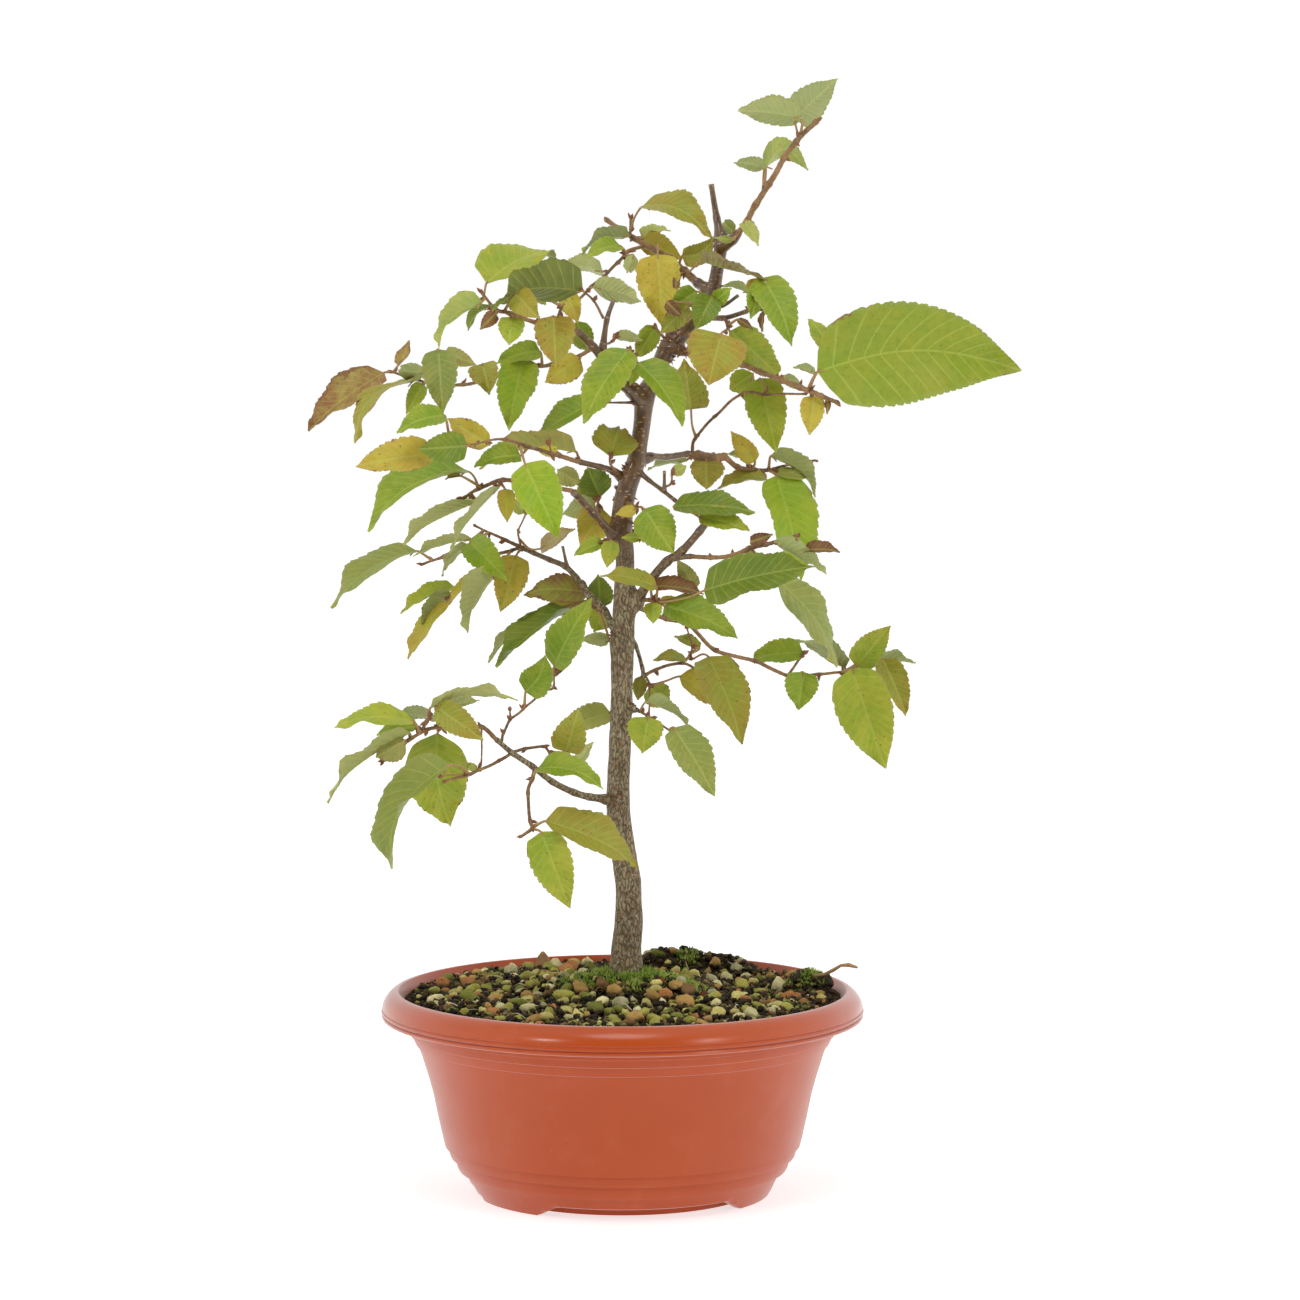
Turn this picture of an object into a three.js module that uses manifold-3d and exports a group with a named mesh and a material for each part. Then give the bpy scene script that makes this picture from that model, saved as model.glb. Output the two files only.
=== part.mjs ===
// A Korean hornbeam bonsai in its round plastic training pot, in millimetres.
// +Z is up, -Y faces the viewer, and the origin is the middle of the pot's base.
//
// The tree was drawn from its front view. Points of the wood and leaves are written as
// [x, z, y]: where the point appears on the upright plane through the trunk, for an eye at EYE,
// and then its depth, with y below 0 nearer the viewer. seen() turns them into real points and
// spreads the crown in depth.
import * as THREE from "three";
import { mergeVertices } from "three/addons/utils/BufferGeometryUtils.js";
import Module from "manifold-3d";

const wasm = await Module();
wasm.setup();

// Driving dimensions
const EYE = new THREE.Vector3(12.5, -1950, 407);
const SPREAD = 1.6;
const POT_SEGMENTS = 36;
const GAP = 0.3;
const TRUNK_SIDES = 9;
const BRANCH_SIDES = 5;
const TWIG_SIDES = 4;
const THIN_TWIG = 0.85;
const BLADE_THICK = 1.3;
const BLADE_TAPER = 0.35;
const LEAF_RATIO = 0.52;
const WIDE_NEAR_BASE = 0.7;
const FULLNESS = 0.8;
const LEAST_FOLD = 10;
const FOLD_RANGE = 12;
const FOLD_CHANGE = 1.7;
const EDGE_ON = 0.01;
const STALK_RADIUS = 0.5;
const NOTCH = 0.82;
const LEAST_BLADE = 14;
const SHORT_STALK = 3;
const END_SINK = 1;
const LEAST_STEM = 2;
const WELD = 1e-4;
// Teeth on each side for blades over a length
const TEETH = [[60, 6], [40, 4], [26, 3], [0, 2]];

// Wood of one growth with the trunk: [x, z, y, radius]
const WOOD = {
  "trunk": [
    [2, 70, 0, 8], [2, 95, 0, 8.3], [2, 101, 0, 7.5], [1.9, 110, 0, 6.9], [2.5, 120, 0, 6.5],
    [2.8, 130, 0, 6.2], [2.7, 140, 0, 5.8], [1.3, 150, 0, 5.6], [0, 160, 0, 5.5],
    [-1.4, 170, 0, 5.5], [-1.9, 180, 0, 5.2], [-1.2, 200, 0, 4.9], [-0.5, 220, 0, 5],
    [0, 240, 1, 5.1], [0.2, 260, 1, 5.1], [1.2, 270, 0, 5.5], [0.9, 280, 0, 4.6],
    [1.2, 290, 0, 4.4], [-0.3, 300, -1, 5], [0.2, 311, -1, 4.8], [2, 321, -2, 4.6],
    [5.5, 331, -2, 4.1], [7.5, 341, -2, 3.8], [9, 351, -1, 3.9], [10.4, 363, 0, 4.3],
    [14.5, 371, 1, 3.9], [17.8, 379, 2, 3.9], [23, 387, 3, 4.6], [31, 396, 3, 3.6],
    [38, 405, 2, 3.1], [41, 411, 2, 3], [43, 421, 1, 2.9], [44.5, 430, 0, 2.8], [45, 435.5, 0, 2.3],
  ],
  "low_left": [
    [0, 178, 0, 2.4], [-8, 180, -2, 1.9], [-15, 181, -5, 1.6], [-22, 183, -9, 1.5],
    [-32, 188, -14, 1.4], [-41, 195, -19, 1.3], [-50, 201, -24, 1.2], [-57, 207, -27, 1.1],
  ],
  "left_mid": [
    [0, 253, 0, 1.9], [-5, 260, 2, 1.6], [-8, 266, 4, 1.5], [-15, 273, 8, 1.4], [-21, 281, 12, 1.35],
    [-26, 286, 15, 1.3], [-33, 289, 19, 1.2], [-40, 292, 23, 1.1], [-45, 294.3, 25.5, 1.15],
  ],
  "left_mid_stub": [[-25, 285.5, 14, 0.8], [-27, 295, 11, 0.6]],
  "left_upper": [[1, 325, 0, 1.9], [-4, 329, -4, 1.6], [-10, 331, -8, 1.3], [-19, 333.2, -12.5, 1.2]],
  "left_stub": [[0, 296, 0, 2.3], [-5, 301, -3, 1.9], [-13, 310, -9, 1.7], [-22, 319.5, -16, 1.5]],
  "fork_left": [
    [10, 360, 0, 3.1], [4, 366, -2, 2.7], [-3, 370, -5, 2.3], [-8, 378, -9, 2], [-13, 385, -12, 1.8],
    [-19.5, 391.5, -16, 1.6],
  ],
  "fork_stub": [[-9, 383, -10, 1.4], [-7, 397, -8, 1.15], [-4, 406, -6, 0.95]],
  "fork_thread": [[9, 360, 0, 0.7], [-1, 360, -5, 0.5], [-10, 360, -8, 0.35]],
  "right_big": [
    [1, 264, 0, 2.6], [6, 270, -2, 2.3], [13, 280, -6, 2], [20, 288, -10, 2], [27, 293, -13, 1.8],
    [35, 302, -17, 1.7], [38, 306, -18, 1.6],
  ],
  "right_big_side": [[23, 290, -11, 1.3], [31, 290.5, -15.5, 1.15]],
  "right_low": [[2, 270, 1, 1.6], [7, 267.5, 4, 1.2], [12, 265.3, 6, 1.1]],
  "right_dark": [[2, 256, 1, 1.4], [6, 250, 4, 0.95], [9, 240, 7, 0.9], [9.6, 236.3, 8, 0.95]],
  "right_lowest": [[1, 223, 0, 1.1], [6, 221, -3, 0.75], [8, 220, -3.8, 0.7]],
  "right_mid": [
    [7, 333.5, -1, 2], [13, 335.5, 2, 1.6], [20, 335.5, 6, 1.5], [29.5, 336.8, 11.3, 1.5],
  ],
  "right_inner": [[5, 331, -2, 1.5], [12, 325, -5, 1], [18, 320.5, -8, 0.95], [24, 315.7, -12.5, 0.9]],
  "right_inner_stub": [[19, 320, -9, 0.8], [19, 329, -12, 0.65]],
  "right_upper": [[18, 385, 2, 2.2], [27, 383, -1, 1.6], [37, 380.3, -3, 1.4]],
  "crown_stub": [[34, 399.5, 3, 1.8], [45, 398, -3, 1.2], [56, 401, -9, 1]],
  "crown_stub_small": [[37, 404, 3, 1.4], [45, 403.5, -2, 0.9], [52, 408, -8, 0.7]],
  "crown_left": [[42, 407, 2, 2.6], [38, 411, 4, 2.4], [34, 413.8, 6.5, 2.1]],
  "leader": [[44, 430, 0, 2.5], [50, 433.5, -2, 1.8], [52, 436, -3, 1.6]],
  "dead_top": [[44.5, 433, 0, 2], [42.5, 443, 2, 1.5], [40, 458, 3, 1.15]],
};

// Leafy stems. twigs are as in WOOD. A leaf's row holds its tone, the face that shows and how it
// turns, where its blade begins and ends, its width as seen, how far its midrib bulges towards the
// upper face, how far it bends in its own plane, and points of its stalk where those show.
const SHOOTS = {
  "leader": {
    "twigs": [
      [[52.4, 436.5, -3.2, 1.5], [56, 441, -5, 1.5], [60, 449, -7, 1.45], [66, 458, -9, 1.4],
       [73, 470, -12, 1.3], [78, 477, -13, 1.25], [87, 486, -16, 1.15]],
    ],
    "leaves": [
      ["grey", "under", [81, 487.5, -13], [52, 491, -22], 14, 2, 0, [[79.5, 479.5, -13]]],
      ["grey", "under", [77.5, 487.5, -12], [96.5, 505, -1], 18, 2, 0, [[79, 480, -12.5]]],
      ["grey", "under", [64.5, 465.5, -6], [50, 468, -12], 7, 1, 0, [[62.5, 455, -8]]],
      ["lime", "under", [64, 465, -4], [83.5, 464.5, 9], 12, 5, 8, [[62.5, 455, -8]]],
      ["pale", "front", [54.5, 441, -9], [61.5, 431, -18], 7, 1, 0],
      ["grey", "front", [50.5, 436.5, 3], [45, 441, 10], 7, 1, 0],
      ["grey", "front", [49.5, 433, -7], [42, 434, -9], 4, 0, 0],
    ],
  },
  "crown_left": {
    "twigs": [
      [[33.6, 414.1, 6.8, 2], [28, 419, 11, 1.9], [20, 425, 17, 1.7], [12, 430, 24, 1.4],
       [5, 434, 28, 1.25], [-7, 442, 33, 1.1]],
      [[10, 430.5, 25, 0.9], [3, 428, 21, 0.85], [-2, 423, 17, 0.8], [-8, 417, 13, 0.8],
       [-14, 412, 9, 0.75], [-20, 406, 5, 0.7]],
      [[3.5, 435, 28, 0.8], [4, 442, 29, 0.6]],
    ],
    "leaves": [
      ["olive", "front", [9, 448, 27], [41, 435, 10], 14, 7, 0, [[4, 437, 28], [5.5, 443, 28]]],
      ["olive", "front", [27, 426, 12], [41, 434.5, 6], 11, 1, 3],
      ["olive", "under", [36, 424, 2], [66, 417, -26], 5, -1, 0, [[30.5, 419, 8]]],
      ["yellow", "front", [16, 425.5, 14], [18, 394.5, 2], 20, 2, 0, [[16, 431, 19]]],
      ["yellow", "front", [9, 433.5, 29], [27, 424.5, 24], 12, 1, 0],
      ["grey", "under", [3, 435, 26], [-19, 427.5, 12], 6, 3, 0],
      ["fresh", "front", [-1, 430.5, 20], [-16, 426.5, 4], 8, 1, 0],
      ["pale", "under", [5, 426.5, 16], [2, 418, 9], 7, 1, 0],
      ["pale", "front", [9, 434.5, 31], [22, 438, 44], 5, 1, 0],
      ["pale", "under", [-9, 419, 16], [-28, 421.5, 30], 9, 2, 0],
      ["pale", "under", [-13, 412, 6], [8.5, 405.5, -8], 11, 2, 0],
      ["brown", "front", [26, 418, 9], [24, 410, 6], 4, 1, 0],
    ],
  },
  "stub_leaf": {
    "twigs": [[[-8.5, 398, -9, 0.7], [-13, 406, -13, 0.55], [-18, 410.5, -20, 0.5]]],
    "leaves": [["dark", "under", [-18, 410.5, -20], [-60, 403, -59], 17, 6, 0]],
  },
  "upper_left": {
    "twigs": [
      [[-20, 391.8, -16.5, 1.2], [-29, 395, -22, 1.05], [-39, 396, -27, 1], [-50, 400, -32, 0.95],
       [-57, 402, -35, 0.85], [-63, 409, -38, 0.6]],
      [[-30, 396, -22, 0.7], [-28, 401, -14, 0.6], [-24.5, 410, -9, 0.5]],
    ],
    "leaves": [
      ["lime", "front", [-61, 414, -32], [-27, 427, 4], 13, 5, 0, [[-62, 410, -37]]],
      ["olive", "front", [-48, 409, -36], [-37.5, 398, -43], 13, 1, 0],
      ["lime", "front", [-50, 398.5, -36], [-51, 386, -40], 12, 1, 0],
      ["brown", "front", [-57, 400, -36], [-64, 393, -40], 7, 1, 0],
      ["lime", "under", [-63, 405.5, -38], [-83, 384, -52], 7, 6, 0],
      ["dark", "under", [-60, 404, -34], [-70, 393, -26], 5, 2, 0],
      ["mottled", "front", [-31, 399, -27], [-30, 376.5, -33], 19, 2, 0],
      ["yellow", "front", [-24.5, 409, -10], [-20, 396, -15], 10, 1, 0],
      ["fresh", "front", [-20.5, 396.5, -8], [-15, 382, 4], 11, 1, 0],
      ["pale", "front", [-38, 409, -14], [-34.5, 404, -12], 5, 0, 0],
    ],
  },
  "upper_left_low": {
    "twigs": [
      [[-14, 384, -10, 1], [-22, 380, -4, 0.95], [-32, 377, 3, 0.95], [-40, 376, 9, 0.9],
       [-52, 373, 17, 0.9], [-65, 369.5, 25, 0.85], [-72, 368, 29, 0.85], [-85, 368.5, 35, 0.8],
       [-95, 371, 39, 0.75], [-104, 374, 42, 0.6]],
    ],
    "leaves": [
      ["yellow", "front", [-19, 380, -7], [-35, 369, -5], 13, 1, 0],
      ["fresh", "front", [-37, 383, 6], [-57, 377.5, 0], 10, 3, 0],
      ["fresh", "front", [-44.5, 380, 4], [-51.5, 348, -14], 20, 2, 0],
      ["olive", "front", [-63, 377.5, 16], [-60, 364, 7], 15, 1, 0],
      ["grey", "front", [-83, 384, 26], [-81, 355.5, 12], 17, 2, 0],
      ["olive", "under", [-80, 382.5, 36], [-66, 377, 42], 9, 1, 0],
      ["grey", "under", [-89, 373, 34], [-101.5, 374.5, 22], 9, 1, 0],
      ["lime", "front", [-90, 368.5, 36], [-97.5, 355, 30], 9, 1, 0],
      ["rust", "front", [-107.5, 373.5, 43], [-142, 347.5, 30], 15, 2, 0],
      ["olive", "front", [-94, 370, 36], [-123, 342.5, 20], 8, 8, 0],
      ["rust", "front", [-101, 377, 44], [-96, 388, 52], 6, -1, 0],
    ],
  },
  "fork": {
    "twigs": [[[12, 369, -2, 0.9], [9, 375, -8, 0.8], [5, 380.5, -10.5, 0.7], [3.5, 383.5, -11.5, 0.6]]],
    "leaves": [
      ["fresh", "front", [7, 378, -13], [27.5, 349.5, -22], 13, 3, 0],
      ["fresh", "front", [3, 384, -14], [-18, 351, -26], 19, 3, 0],
      ["lime", "front", [6, 376, -8], [3.5, 368, -10], 6, 0, 0],
    ],
  },
  "fork_low": {
    "twigs": [[[-3, 368, -5, 0.8], [-8, 363, -9, 0.6], [-13, 360, -11, 0.5]]],
    "leaves": [["fresh", "front", [-13, 360, -11], [-38.5, 345, -3], 11, 1, 0]],
  },
  "fork_back": {
    "twigs": [[[19, 389, 4, 0.8], [15, 394, 9, 0.5]]],
    "leaves": [["lime", "front", [15, 394.5, 9], [6, 380, 12], 11, 1, 0]],
  },
  "fork_pale": {
    "twigs": [[[-9, 386, -9, 0.6], [-5.5, 387, -5, 0.5], [-3.5, 390, -2, 0.45]]],
    "leaves": [["pale", "under", [-3, 390.5, -1], [9, 388, 3], 6, 0, 0]],
  },
  "crown_mid": {
    "twigs": [[[37, 403, -1, 1.1], [40, 405.5, -6, 0.9], [41, 407.5, -9, 0.7]]],
    "leaves": [
      ["dark", "front", [40.5, 407.5, -10], [33, 393, -15], 14, 2, 0],
      ["fresh", "front", [42, 406, -9], [49, 411.5, -14], 8, 1, 0],
      ["fresh", "front", [33.5, 410, -5], [22, 403, -4], 11, 1, 0, [[37, 408.5, -6]]],
      ["olive", "front", [29.5, 404, -7], [17, 391, -8], 11, 1, 0, [[36, 406, -8]]],
      ["brown", "front", [20, 405.5, -10], [27, 398.5, -12], 6, 0, 0, [[30, 405, -9]]],
    ],
  },
  "crown_right": {
    "twigs": [[[56.4, 401.2, -9.3, 0.9], [61, 402, -13, 0.75], [68, 401, -18, 0.55]]],
    "leaves": [
      ["fresh", "front", [62, 412, -15], [58, 398, -21], 10, 1, 0],
      ["yellow", "front", [57, 409.5, -12], [63, 415.5, -9], 8, 0, 0],
      ["fresh", "front", [63, 416, -12], [77, 386, -30], 18, 4, 0, [[66, 403, -17], [64, 411, -14]]],
      ["grey", "under", [57, 409, -10], [45, 412.5, -8], 4, 2, 0],
      ["brown", "front", [63.5, 401, -15], [63, 392, -17], 3, 0, 0],
    ],
  },
  "crown_right_low": {
    "twigs": [[[46, 398, -5, 0.8], [47.5, 394.5, -11, 0.6], [46.5, 392, -15, 0.55]]],
    "leaves": [
      ["mottled", "front", [44.5, 391, -19], [39, 368, -26], 29, 1, 0],
      ["lime", "front", [48.5, 392, -9], [71, 371, 6], 17, 2, 0],
      ["brown", "front", [52, 397.5, -11], [59, 393, -13], 4, 0, 0],
    ],
  },
  "big_leaf": {
    "twigs": [
      [[37.5, 380.2, -3.2, 1.35], [54, 377, -9, 1.3], [62, 374, -13, 1.25], [72, 370, -19, 1.2],
       [80, 367, -24, 1.35], [90, 363, -31, 1.1], [97, 360, -35, 0.9]],
    ],
    "leaves": [
      ["lime", "front", [88, 374, -33], [180, 374.5, -44], 47, 1, -9, [[84, 367, -28]]],
      ["lime", "front", [94, 383, -24], [84, 398.5, -16], 9, 1, 0, [[87, 372, -27]]],
      ["grey", "under", [87, 373.5, -27], [77, 376, -24], 4, 1, 0],
      ["grey", "under", [73, 372, -15], [81, 366, -16], 6, 1, 0],
      ["yellow", "front", [86, 363, -27], [84.5, 345.5, -33], 12, 1, 0],
      ["brown", "front", [92.5, 361.5, -33], [92.5, 355, -35], 3, 0, 0],
    ],
  },
  "right_mid": {
    "twigs": [
      [[30, 336.8, 11.6, 1.5], [34, 336, 13, 2.3], [41, 335, 16, 2.3], [46, 335.5, 19, 1.6],
       [52, 331, 22, 1.3], [60, 329.5, 26, 1.1], [75, 330, 33, 0.8]],
      [[68, 330.2, 30, 0.7], [78, 332.5, 35, 0.6], [87, 334, 40, 0.5]],
      [[31.5, 337.5, 12, 0.9], [33, 344, 10, 0.75], [42, 354, 6, 0.7], [54, 364, 1, 0.7],
       [65, 363.8, -3, 0.65], [82, 364, -8, 0.5]],
    ],
    "leaves": [
      ["olive", "front", [31, 357, 5], [28, 379, -9], 16, 1, 0, [[32.5, 345, 10], [31.5, 350, 8]]],
      ["lime", "front", [62, 371, 4], [69.5, 337.5, -5], 20, 2, 0, [[65.5, 364, -3], [64, 368, 0]]],
      ["lime", "front", [59, 373, 9], [48.5, 366, 16], 13, 0, 0, [[57, 366, 5]]],
      ["yellow", "front", [60, 333.5, 25], [49, 347, 22], 10, 1, 0],
      ["grey", "under", [67, 336, 28], [88, 317.5, 18], 8, 5, 0],
      ["pale", "front", [69, 328.5, 29], [86, 325, 24], 6, 1, 0],
      ["olive", "front", [65, 326.5, 25], [43, 322, 16], 7, 1, 0],
      ["fresh", "front", [69.5, 327, 26], [81.5, 280, 6], 24, 2, 0],
      ["pale", "under", [57, 335, 26], [47, 337.5, 27], 4, 0, 0],
      ["grey", "under", [29, 334, 14], [11, 330.5, 6], 5, 1, 0],
      ["olive", "front", [38, 333.5, 13], [38, 321, 6], 17, 1, 0],
    ],
  },
  "right_inner": {
    "twigs": [[[24.4, 315.4, -12.8, 0.85], [29, 312.5, -15, 0.6]]],
    "leaves": [
      ["dark", "front", [23, 313, -15], [60, 311, -26], 13, 2, 0],
      ["lime", "front", [34.5, 308.5, -20], [57.5, 302, -24], 10, 1, 0],
    ],
  },
  "right_inner_pale": {
    "twigs": [[[18, 321.5, -8, 0.6], [22, 323.5, -11, 0.5], [22.5, 328, -12, 0.45]]],
    "leaves": [["pale", "front", [22.5, 328, -12], [29, 331.5, -8], 6, 0, 0]],
  },
  "front_right": {
    "twigs": [[[2, 315, -4, 0.8], [6, 313, -8, 0.6], [9.5, 311.5, -9, 0.55], [9, 300, -9, 0.5]]],
    "leaves": [
      ["fresh", "front", [10, 312, -11], [23, 292, -17], 19, 1, 0],
      ["yellow", "front", [6, 312, -9], [-3, 309.5, -11], 6, 0, 0],
      ["lime", "front", [8, 299, -9], [0, 299, -11], 5, 0, 0],
    ],
  },
  "left_upper": {
    "twigs": [
      [[-19.5, 333.3, -12.9, 1.15], [-32, 337, -20, 1], [-42, 340, -28, 0.85], [-54, 343.5, -36, 0.6],
       [-66, 341.5, -35, 0.5], [-80, 339, -33, 0.45]],
      [[-32, 337, -20, 0.6], [-33, 341, -21, 0.4]],
    ],
    "leaves": [
      ["grey", "under", [-21, 338, -8], [-66, 332.5, -20], 10, 7, 0],
      ["yellow", "front", [-29, 337.5, -15], [-39, 339, -14], 6, 0, 0],
      ["fresh", "front", [-46, 336, -27], [-67, 331, -35], 10, 3, 0],
      ["lime", "front", [-44, 332.5, -34], [-29, 299.5, -45], 26, 1, 0],
      ["yellow", "front", [-60, 341, -32], [-79, 353, -26], 12, 1, 0],
      ["dark", "front", [-70, 340.5, -37], [-92, 339, -39], 15, 1, 0],
      ["fresh", "front", [-80, 354, -33], [-102, 347, -45], 11, 3, 0],
      ["yellow", "front", [-85, 337, -31], [-120.5, 331.5, -36], 16, 1, 0],
    ],
  },
  "left_tan": {
    "twigs": [
      [[-22.6, 320.2, -16, 1.1], [-38, 323, -6, 1], [-54, 325, 0, 1], [-65, 321, 5, 0.9],
       [-72, 317, 8, 0.75]],
    ],
    "leaves": [
      ["fresh", "front", [-70, 329, 2], [-117, 303.5, -14], 13, 7, 0, [[-65, 322, 5], [-67, 326.5, 4]]],
      ["pale", "under", [-66, 315.5, 7], [-100, 298, 20], 4, 2, 0],
      ["pale", "under", [-56, 322, 3], [-80, 293, -6], 5, 3, 0],
      ["yellow", "front", [-53, 321, 2], [-52, 306, -3], 9, 1, 0],
      ["rust", "front", [-73, 327, -2], [-80, 325.5, -6], 3, 1, 0],
    ],
  },
  "left_inner": {
    "twigs": [[[-12, 308.5, -6, 0.8], [-11.5, 312, 1, 0.6], [-10.5, 317, 6, 0.5]]],
    "leaves": [
      ["dark", "front", [-10, 317.5, 6], [-16, 331, 12], 14, 0, 0],
      ["olive", "under", [-29, 329.5, 12], [-18.5, 323.5, 5], 10, 0, 0],
      ["yellow", "front", [-8.5, 308, 4], [-21, 299, -1], 13, 0, 0],
      ["pale", "under", [-12.5, 315, 6], [-27, 309.5, 13], 9, 0, 0],
    ],
  },
  "front_leaf": {
    "twigs": [[[-2, 328, -4, 0.8], [-5.5, 332.5, -8.5, 0.5], [-5.5, 335.5, -9, 0.5]]],
    "leaves": [["olive", "front", [-5.5, 336, -9], [-1, 350, 3], 22, 1, 0]],
  },
  "left_mid": {
    "twigs": [
      [[-45.4, 294.5, 25.8, 1.1], [-53, 298, 29, 0.8], [-66, 304, 35, 0.5]],
      [[-46, 294.5, 26, 0.9], [-60, 291, 32, 0.8], [-70, 293, 38, 0.75], [-82, 290, 44, 0.7],
       [-90, 287, 48, 0.6]],
      [[-60, 291, 32, 0.6], [-64, 283, 30, 0.5], [-72, 277, 31, 0.45], [-78, 272, 32, 0.4]],
      [[-46, 295, 26, 0.6], [-47, 302, 22, 0.5], [-43.5, 310, 16, 0.45]],
    ],
    "leaves": [
      ["fresh", "front", [-69, 297, 26], [-52, 279.5, 9], 15, 4, 0],
      ["pale", "under", [-68, 298.5, 30], [-95, 292, 37], 5, 1, 0],
      ["yellow", "front", [-48, 291, 23], [-55, 265.5, 15], 17, 1, 0],
      ["pale", "under", [-57, 284, 19], [-71.5, 256, 6], 9, 3, 0],
      ["yellow", "front", [-64, 282, 27], [-79, 269, 24], 5, 1, 0],
      ["lime", "front", [-76, 276.5, 36], [-101, 265, 34], 7, 2, 0],
      ["grey", "under", [-77, 273.5, 33], [-92, 260, 24], 9, 1, 0],
      ["yellow", "front", [-79, 270, 29], [-97.5, 244, 18], 8, 1, 0],
      ["grey", "front", [-93, 293, 47], [-132.5, 267.5, 30], 11, 5, 0, [[-86, 289.5, 46]]],
      ["pale", "under", [-70, 296, 36], [-83, 282, 30], 5, 2, 0],
      ["pale", "front", [-44, 310.5, 16], [-50, 316, 20], 7, 0, 0],
      ["beige", "front", [-37, 294, 17], [-21.5, 303, 6], 8, 0, 0, [[-42, 294, 21]]],
    ],
  },
  "centre_left": {
    "twigs": [[[-9.5, 267, 5, 0.8], [-12, 267.5, 12, 0.6], [-14, 271, 16, 0.55]]],
    "leaves": [
      ["olive", "front", [-15, 274, 17], [-45.5, 274, 22], 14, 3, 0],
      ["dark", "front", [-10, 267, 15], [-11, 282.5, 22], 13, 0, 0],
      ["yellow", "front", [-20, 268, 19], [-36, 265.5, 26], 8, 0, 0],
      ["lime", "front", [-8, 266.5, 12], [-13, 256, 16], 12, 0, 0],
      ["pale", "under", [-6, 252.5, 9], [-19, 253, 13], 7, 0, 0],
      ["grey", "front", [-24, 267, 14], [-57.5, 240.5, 0], 10, 2, 0],
      ["pale", "under", [-34, 265.5, 20], [-62, 243, 12], 4, 2, 0],
    ],
  },
  "low_left": {
    "twigs": [
      [[-57.5, 207.4, -27.2, 1.1], [-64, 213, -30, 1], [-74, 212, -32, 0.95], [-82, 212.6, -34, 0.9],
       [-89, 211.6, -36, 0.85], [-97, 207, -38, 0.8], [-102, 202, -39, 0.7], [-108.5, 197.5, -40, 0.6]],
      [[-64, 213, -30, 0.5], [-64, 197, -31, 0.35]],
      [[-91, 211.5, -36, 0.7], [-89, 215.5, -37, 0.85], [-88, 217.5, -37, 0.5]],
    ],
    "leaves": [
      ["lime", "front", [-95, 215.5, -38], [-131, 214, -50], 9, 3, 0, [[-92.5, 210, -37], [-93, 213, -38]]],
      ["grey", "under", [-85, 217, -33], [-102, 219, -22], 7, 1, 0],
      ["fresh", "front", [-93, 213, -34], [-112, 209.5, -28], 8, 1, 0],
      ["grey", "under", [-97, 210.5, -39], [-137, 181, -54], 8, 4, 0],
      ["olive", "under", [-99, 207, -41], [-112, 199, -47], 14, 0, 0],
      ["lime", "front", [-84, 210, -32], [-78, 167, -22], 30, 1, 3],
      ["pale", "under", [-87, 222, -37], [-47, 227.5, -40], 6, 4, 0, [[-87.5, 216, -37]]],
      ["pale", "under", [-85, 222, -31], [-65, 225.5, -24], 7, 0, 0],
      ["olive", "front", [-84.5, 222, -38], [-63, 207, -43], 14, 2, 0, [[-83, 213, -34]]],
    ],
  },
  "low_up": {
    "twigs": [
      [[-55, 205.5, -26, 0.75], [-54, 210, -22, 0.65], [-51, 216, -16, 0.65], [-45, 221, -9, 0.6],
       [-36, 229, 0, 0.55], [-31.5, 231, 4, 0.55], [-31, 238, 4, 0.5]],
      [[-51, 216, -16, 0.5], [-51, 220, -16, 0.35]],
    ],
    "leaves": [
      ["fresh", "front", [-44, 229, -5], [-35, 245.5, -8], 16, 0, 2, [[-45, 222, -8.5]]],
      ["fresh", "front", [-31, 240.5, 3], [-14, 271.5, -8], 18, 2, 0],
      ["brown", "front", [-30, 236.5, 6], [-23, 250.5, 10], 6, 0, 0],
    ],
  },
  "low_twig": {
    "twigs": [
      [[-51.5, 200.2, -25, 0.8], [-56, 197.5, -28, 0.75], [-69, 191.5, -36, 0.7], [-80, 188.5, -43, 0.6]],
      [[-68, 192, -36, 0.5], [-82, 190.5, -46, 0.4]],
    ],
    "leaves": [
      [
        "grey", "front", [-79, 195.5, -52], [-108, 149.5, -62], 15, 2, 12,
        [[-69, 192.5, -38], [-74, 195, -45]],
      ],
      ["pale", "front", [-66, 193.5, -32], [-72, 196, -30], 4, 1, 0],
    ],
  },
  "low_inner": {
    "twigs": [[[-49, 201.7, -22, 0.8], [-44, 203, -19, 0.7], [-36, 204, -15, 0.65], [-33, 201, -13, 0.55]]],
    "leaves": [
      ["olive", "front", [-25.5, 201.5, -16], [-20, 220.5, -24], 17, 1, 0],
      ["pale", "under", [-21, 197, -8], [-13.5, 206, -3], 6, 0, 0],
    ],
  },
  "low_back": {
    "twigs": [[[-1, 221, 3, 0.8], [-5, 219.5, 9, 0.5]]],
    "leaves": [["pale", "front", [-5.5, 219.3, 9.5], [-29, 212, 0], 13, 1, 0]],
  },
  "hanging": {
    "twigs": [
      [[-40, 193.8, -18.5, 1], [-41, 189, -21, 0.9], [-43, 183, -24, 0.8], [-42, 170, -28, 0.8],
       [-41, 167, -29, 0.95], [-45, 163.5, -31, 0.6]],
    ],
    "leaves": [
      ["olive", "front", [-35, 170, -30], [8, 149.5, -18], 18, 3, 0],
      ["lime", "front", [-37, 165, -32], [-24, 130, -42], 20, 1, 0],
      ["fresh", "front", [-38.5, 194, -24], [-8, 186, -34], 11, 4, 0],
    ],
  },
  "right_big": {
    "twigs": [
      [[31.5, 290.5, -15.8, 1.1], [40, 290, -20, 1.05], [50, 291, -25, 1], [57, 294, -29, 1.2],
       [65, 296, -33, 1], [79, 300, -40, 0.8]],
    ],
    "leaves": [
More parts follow.
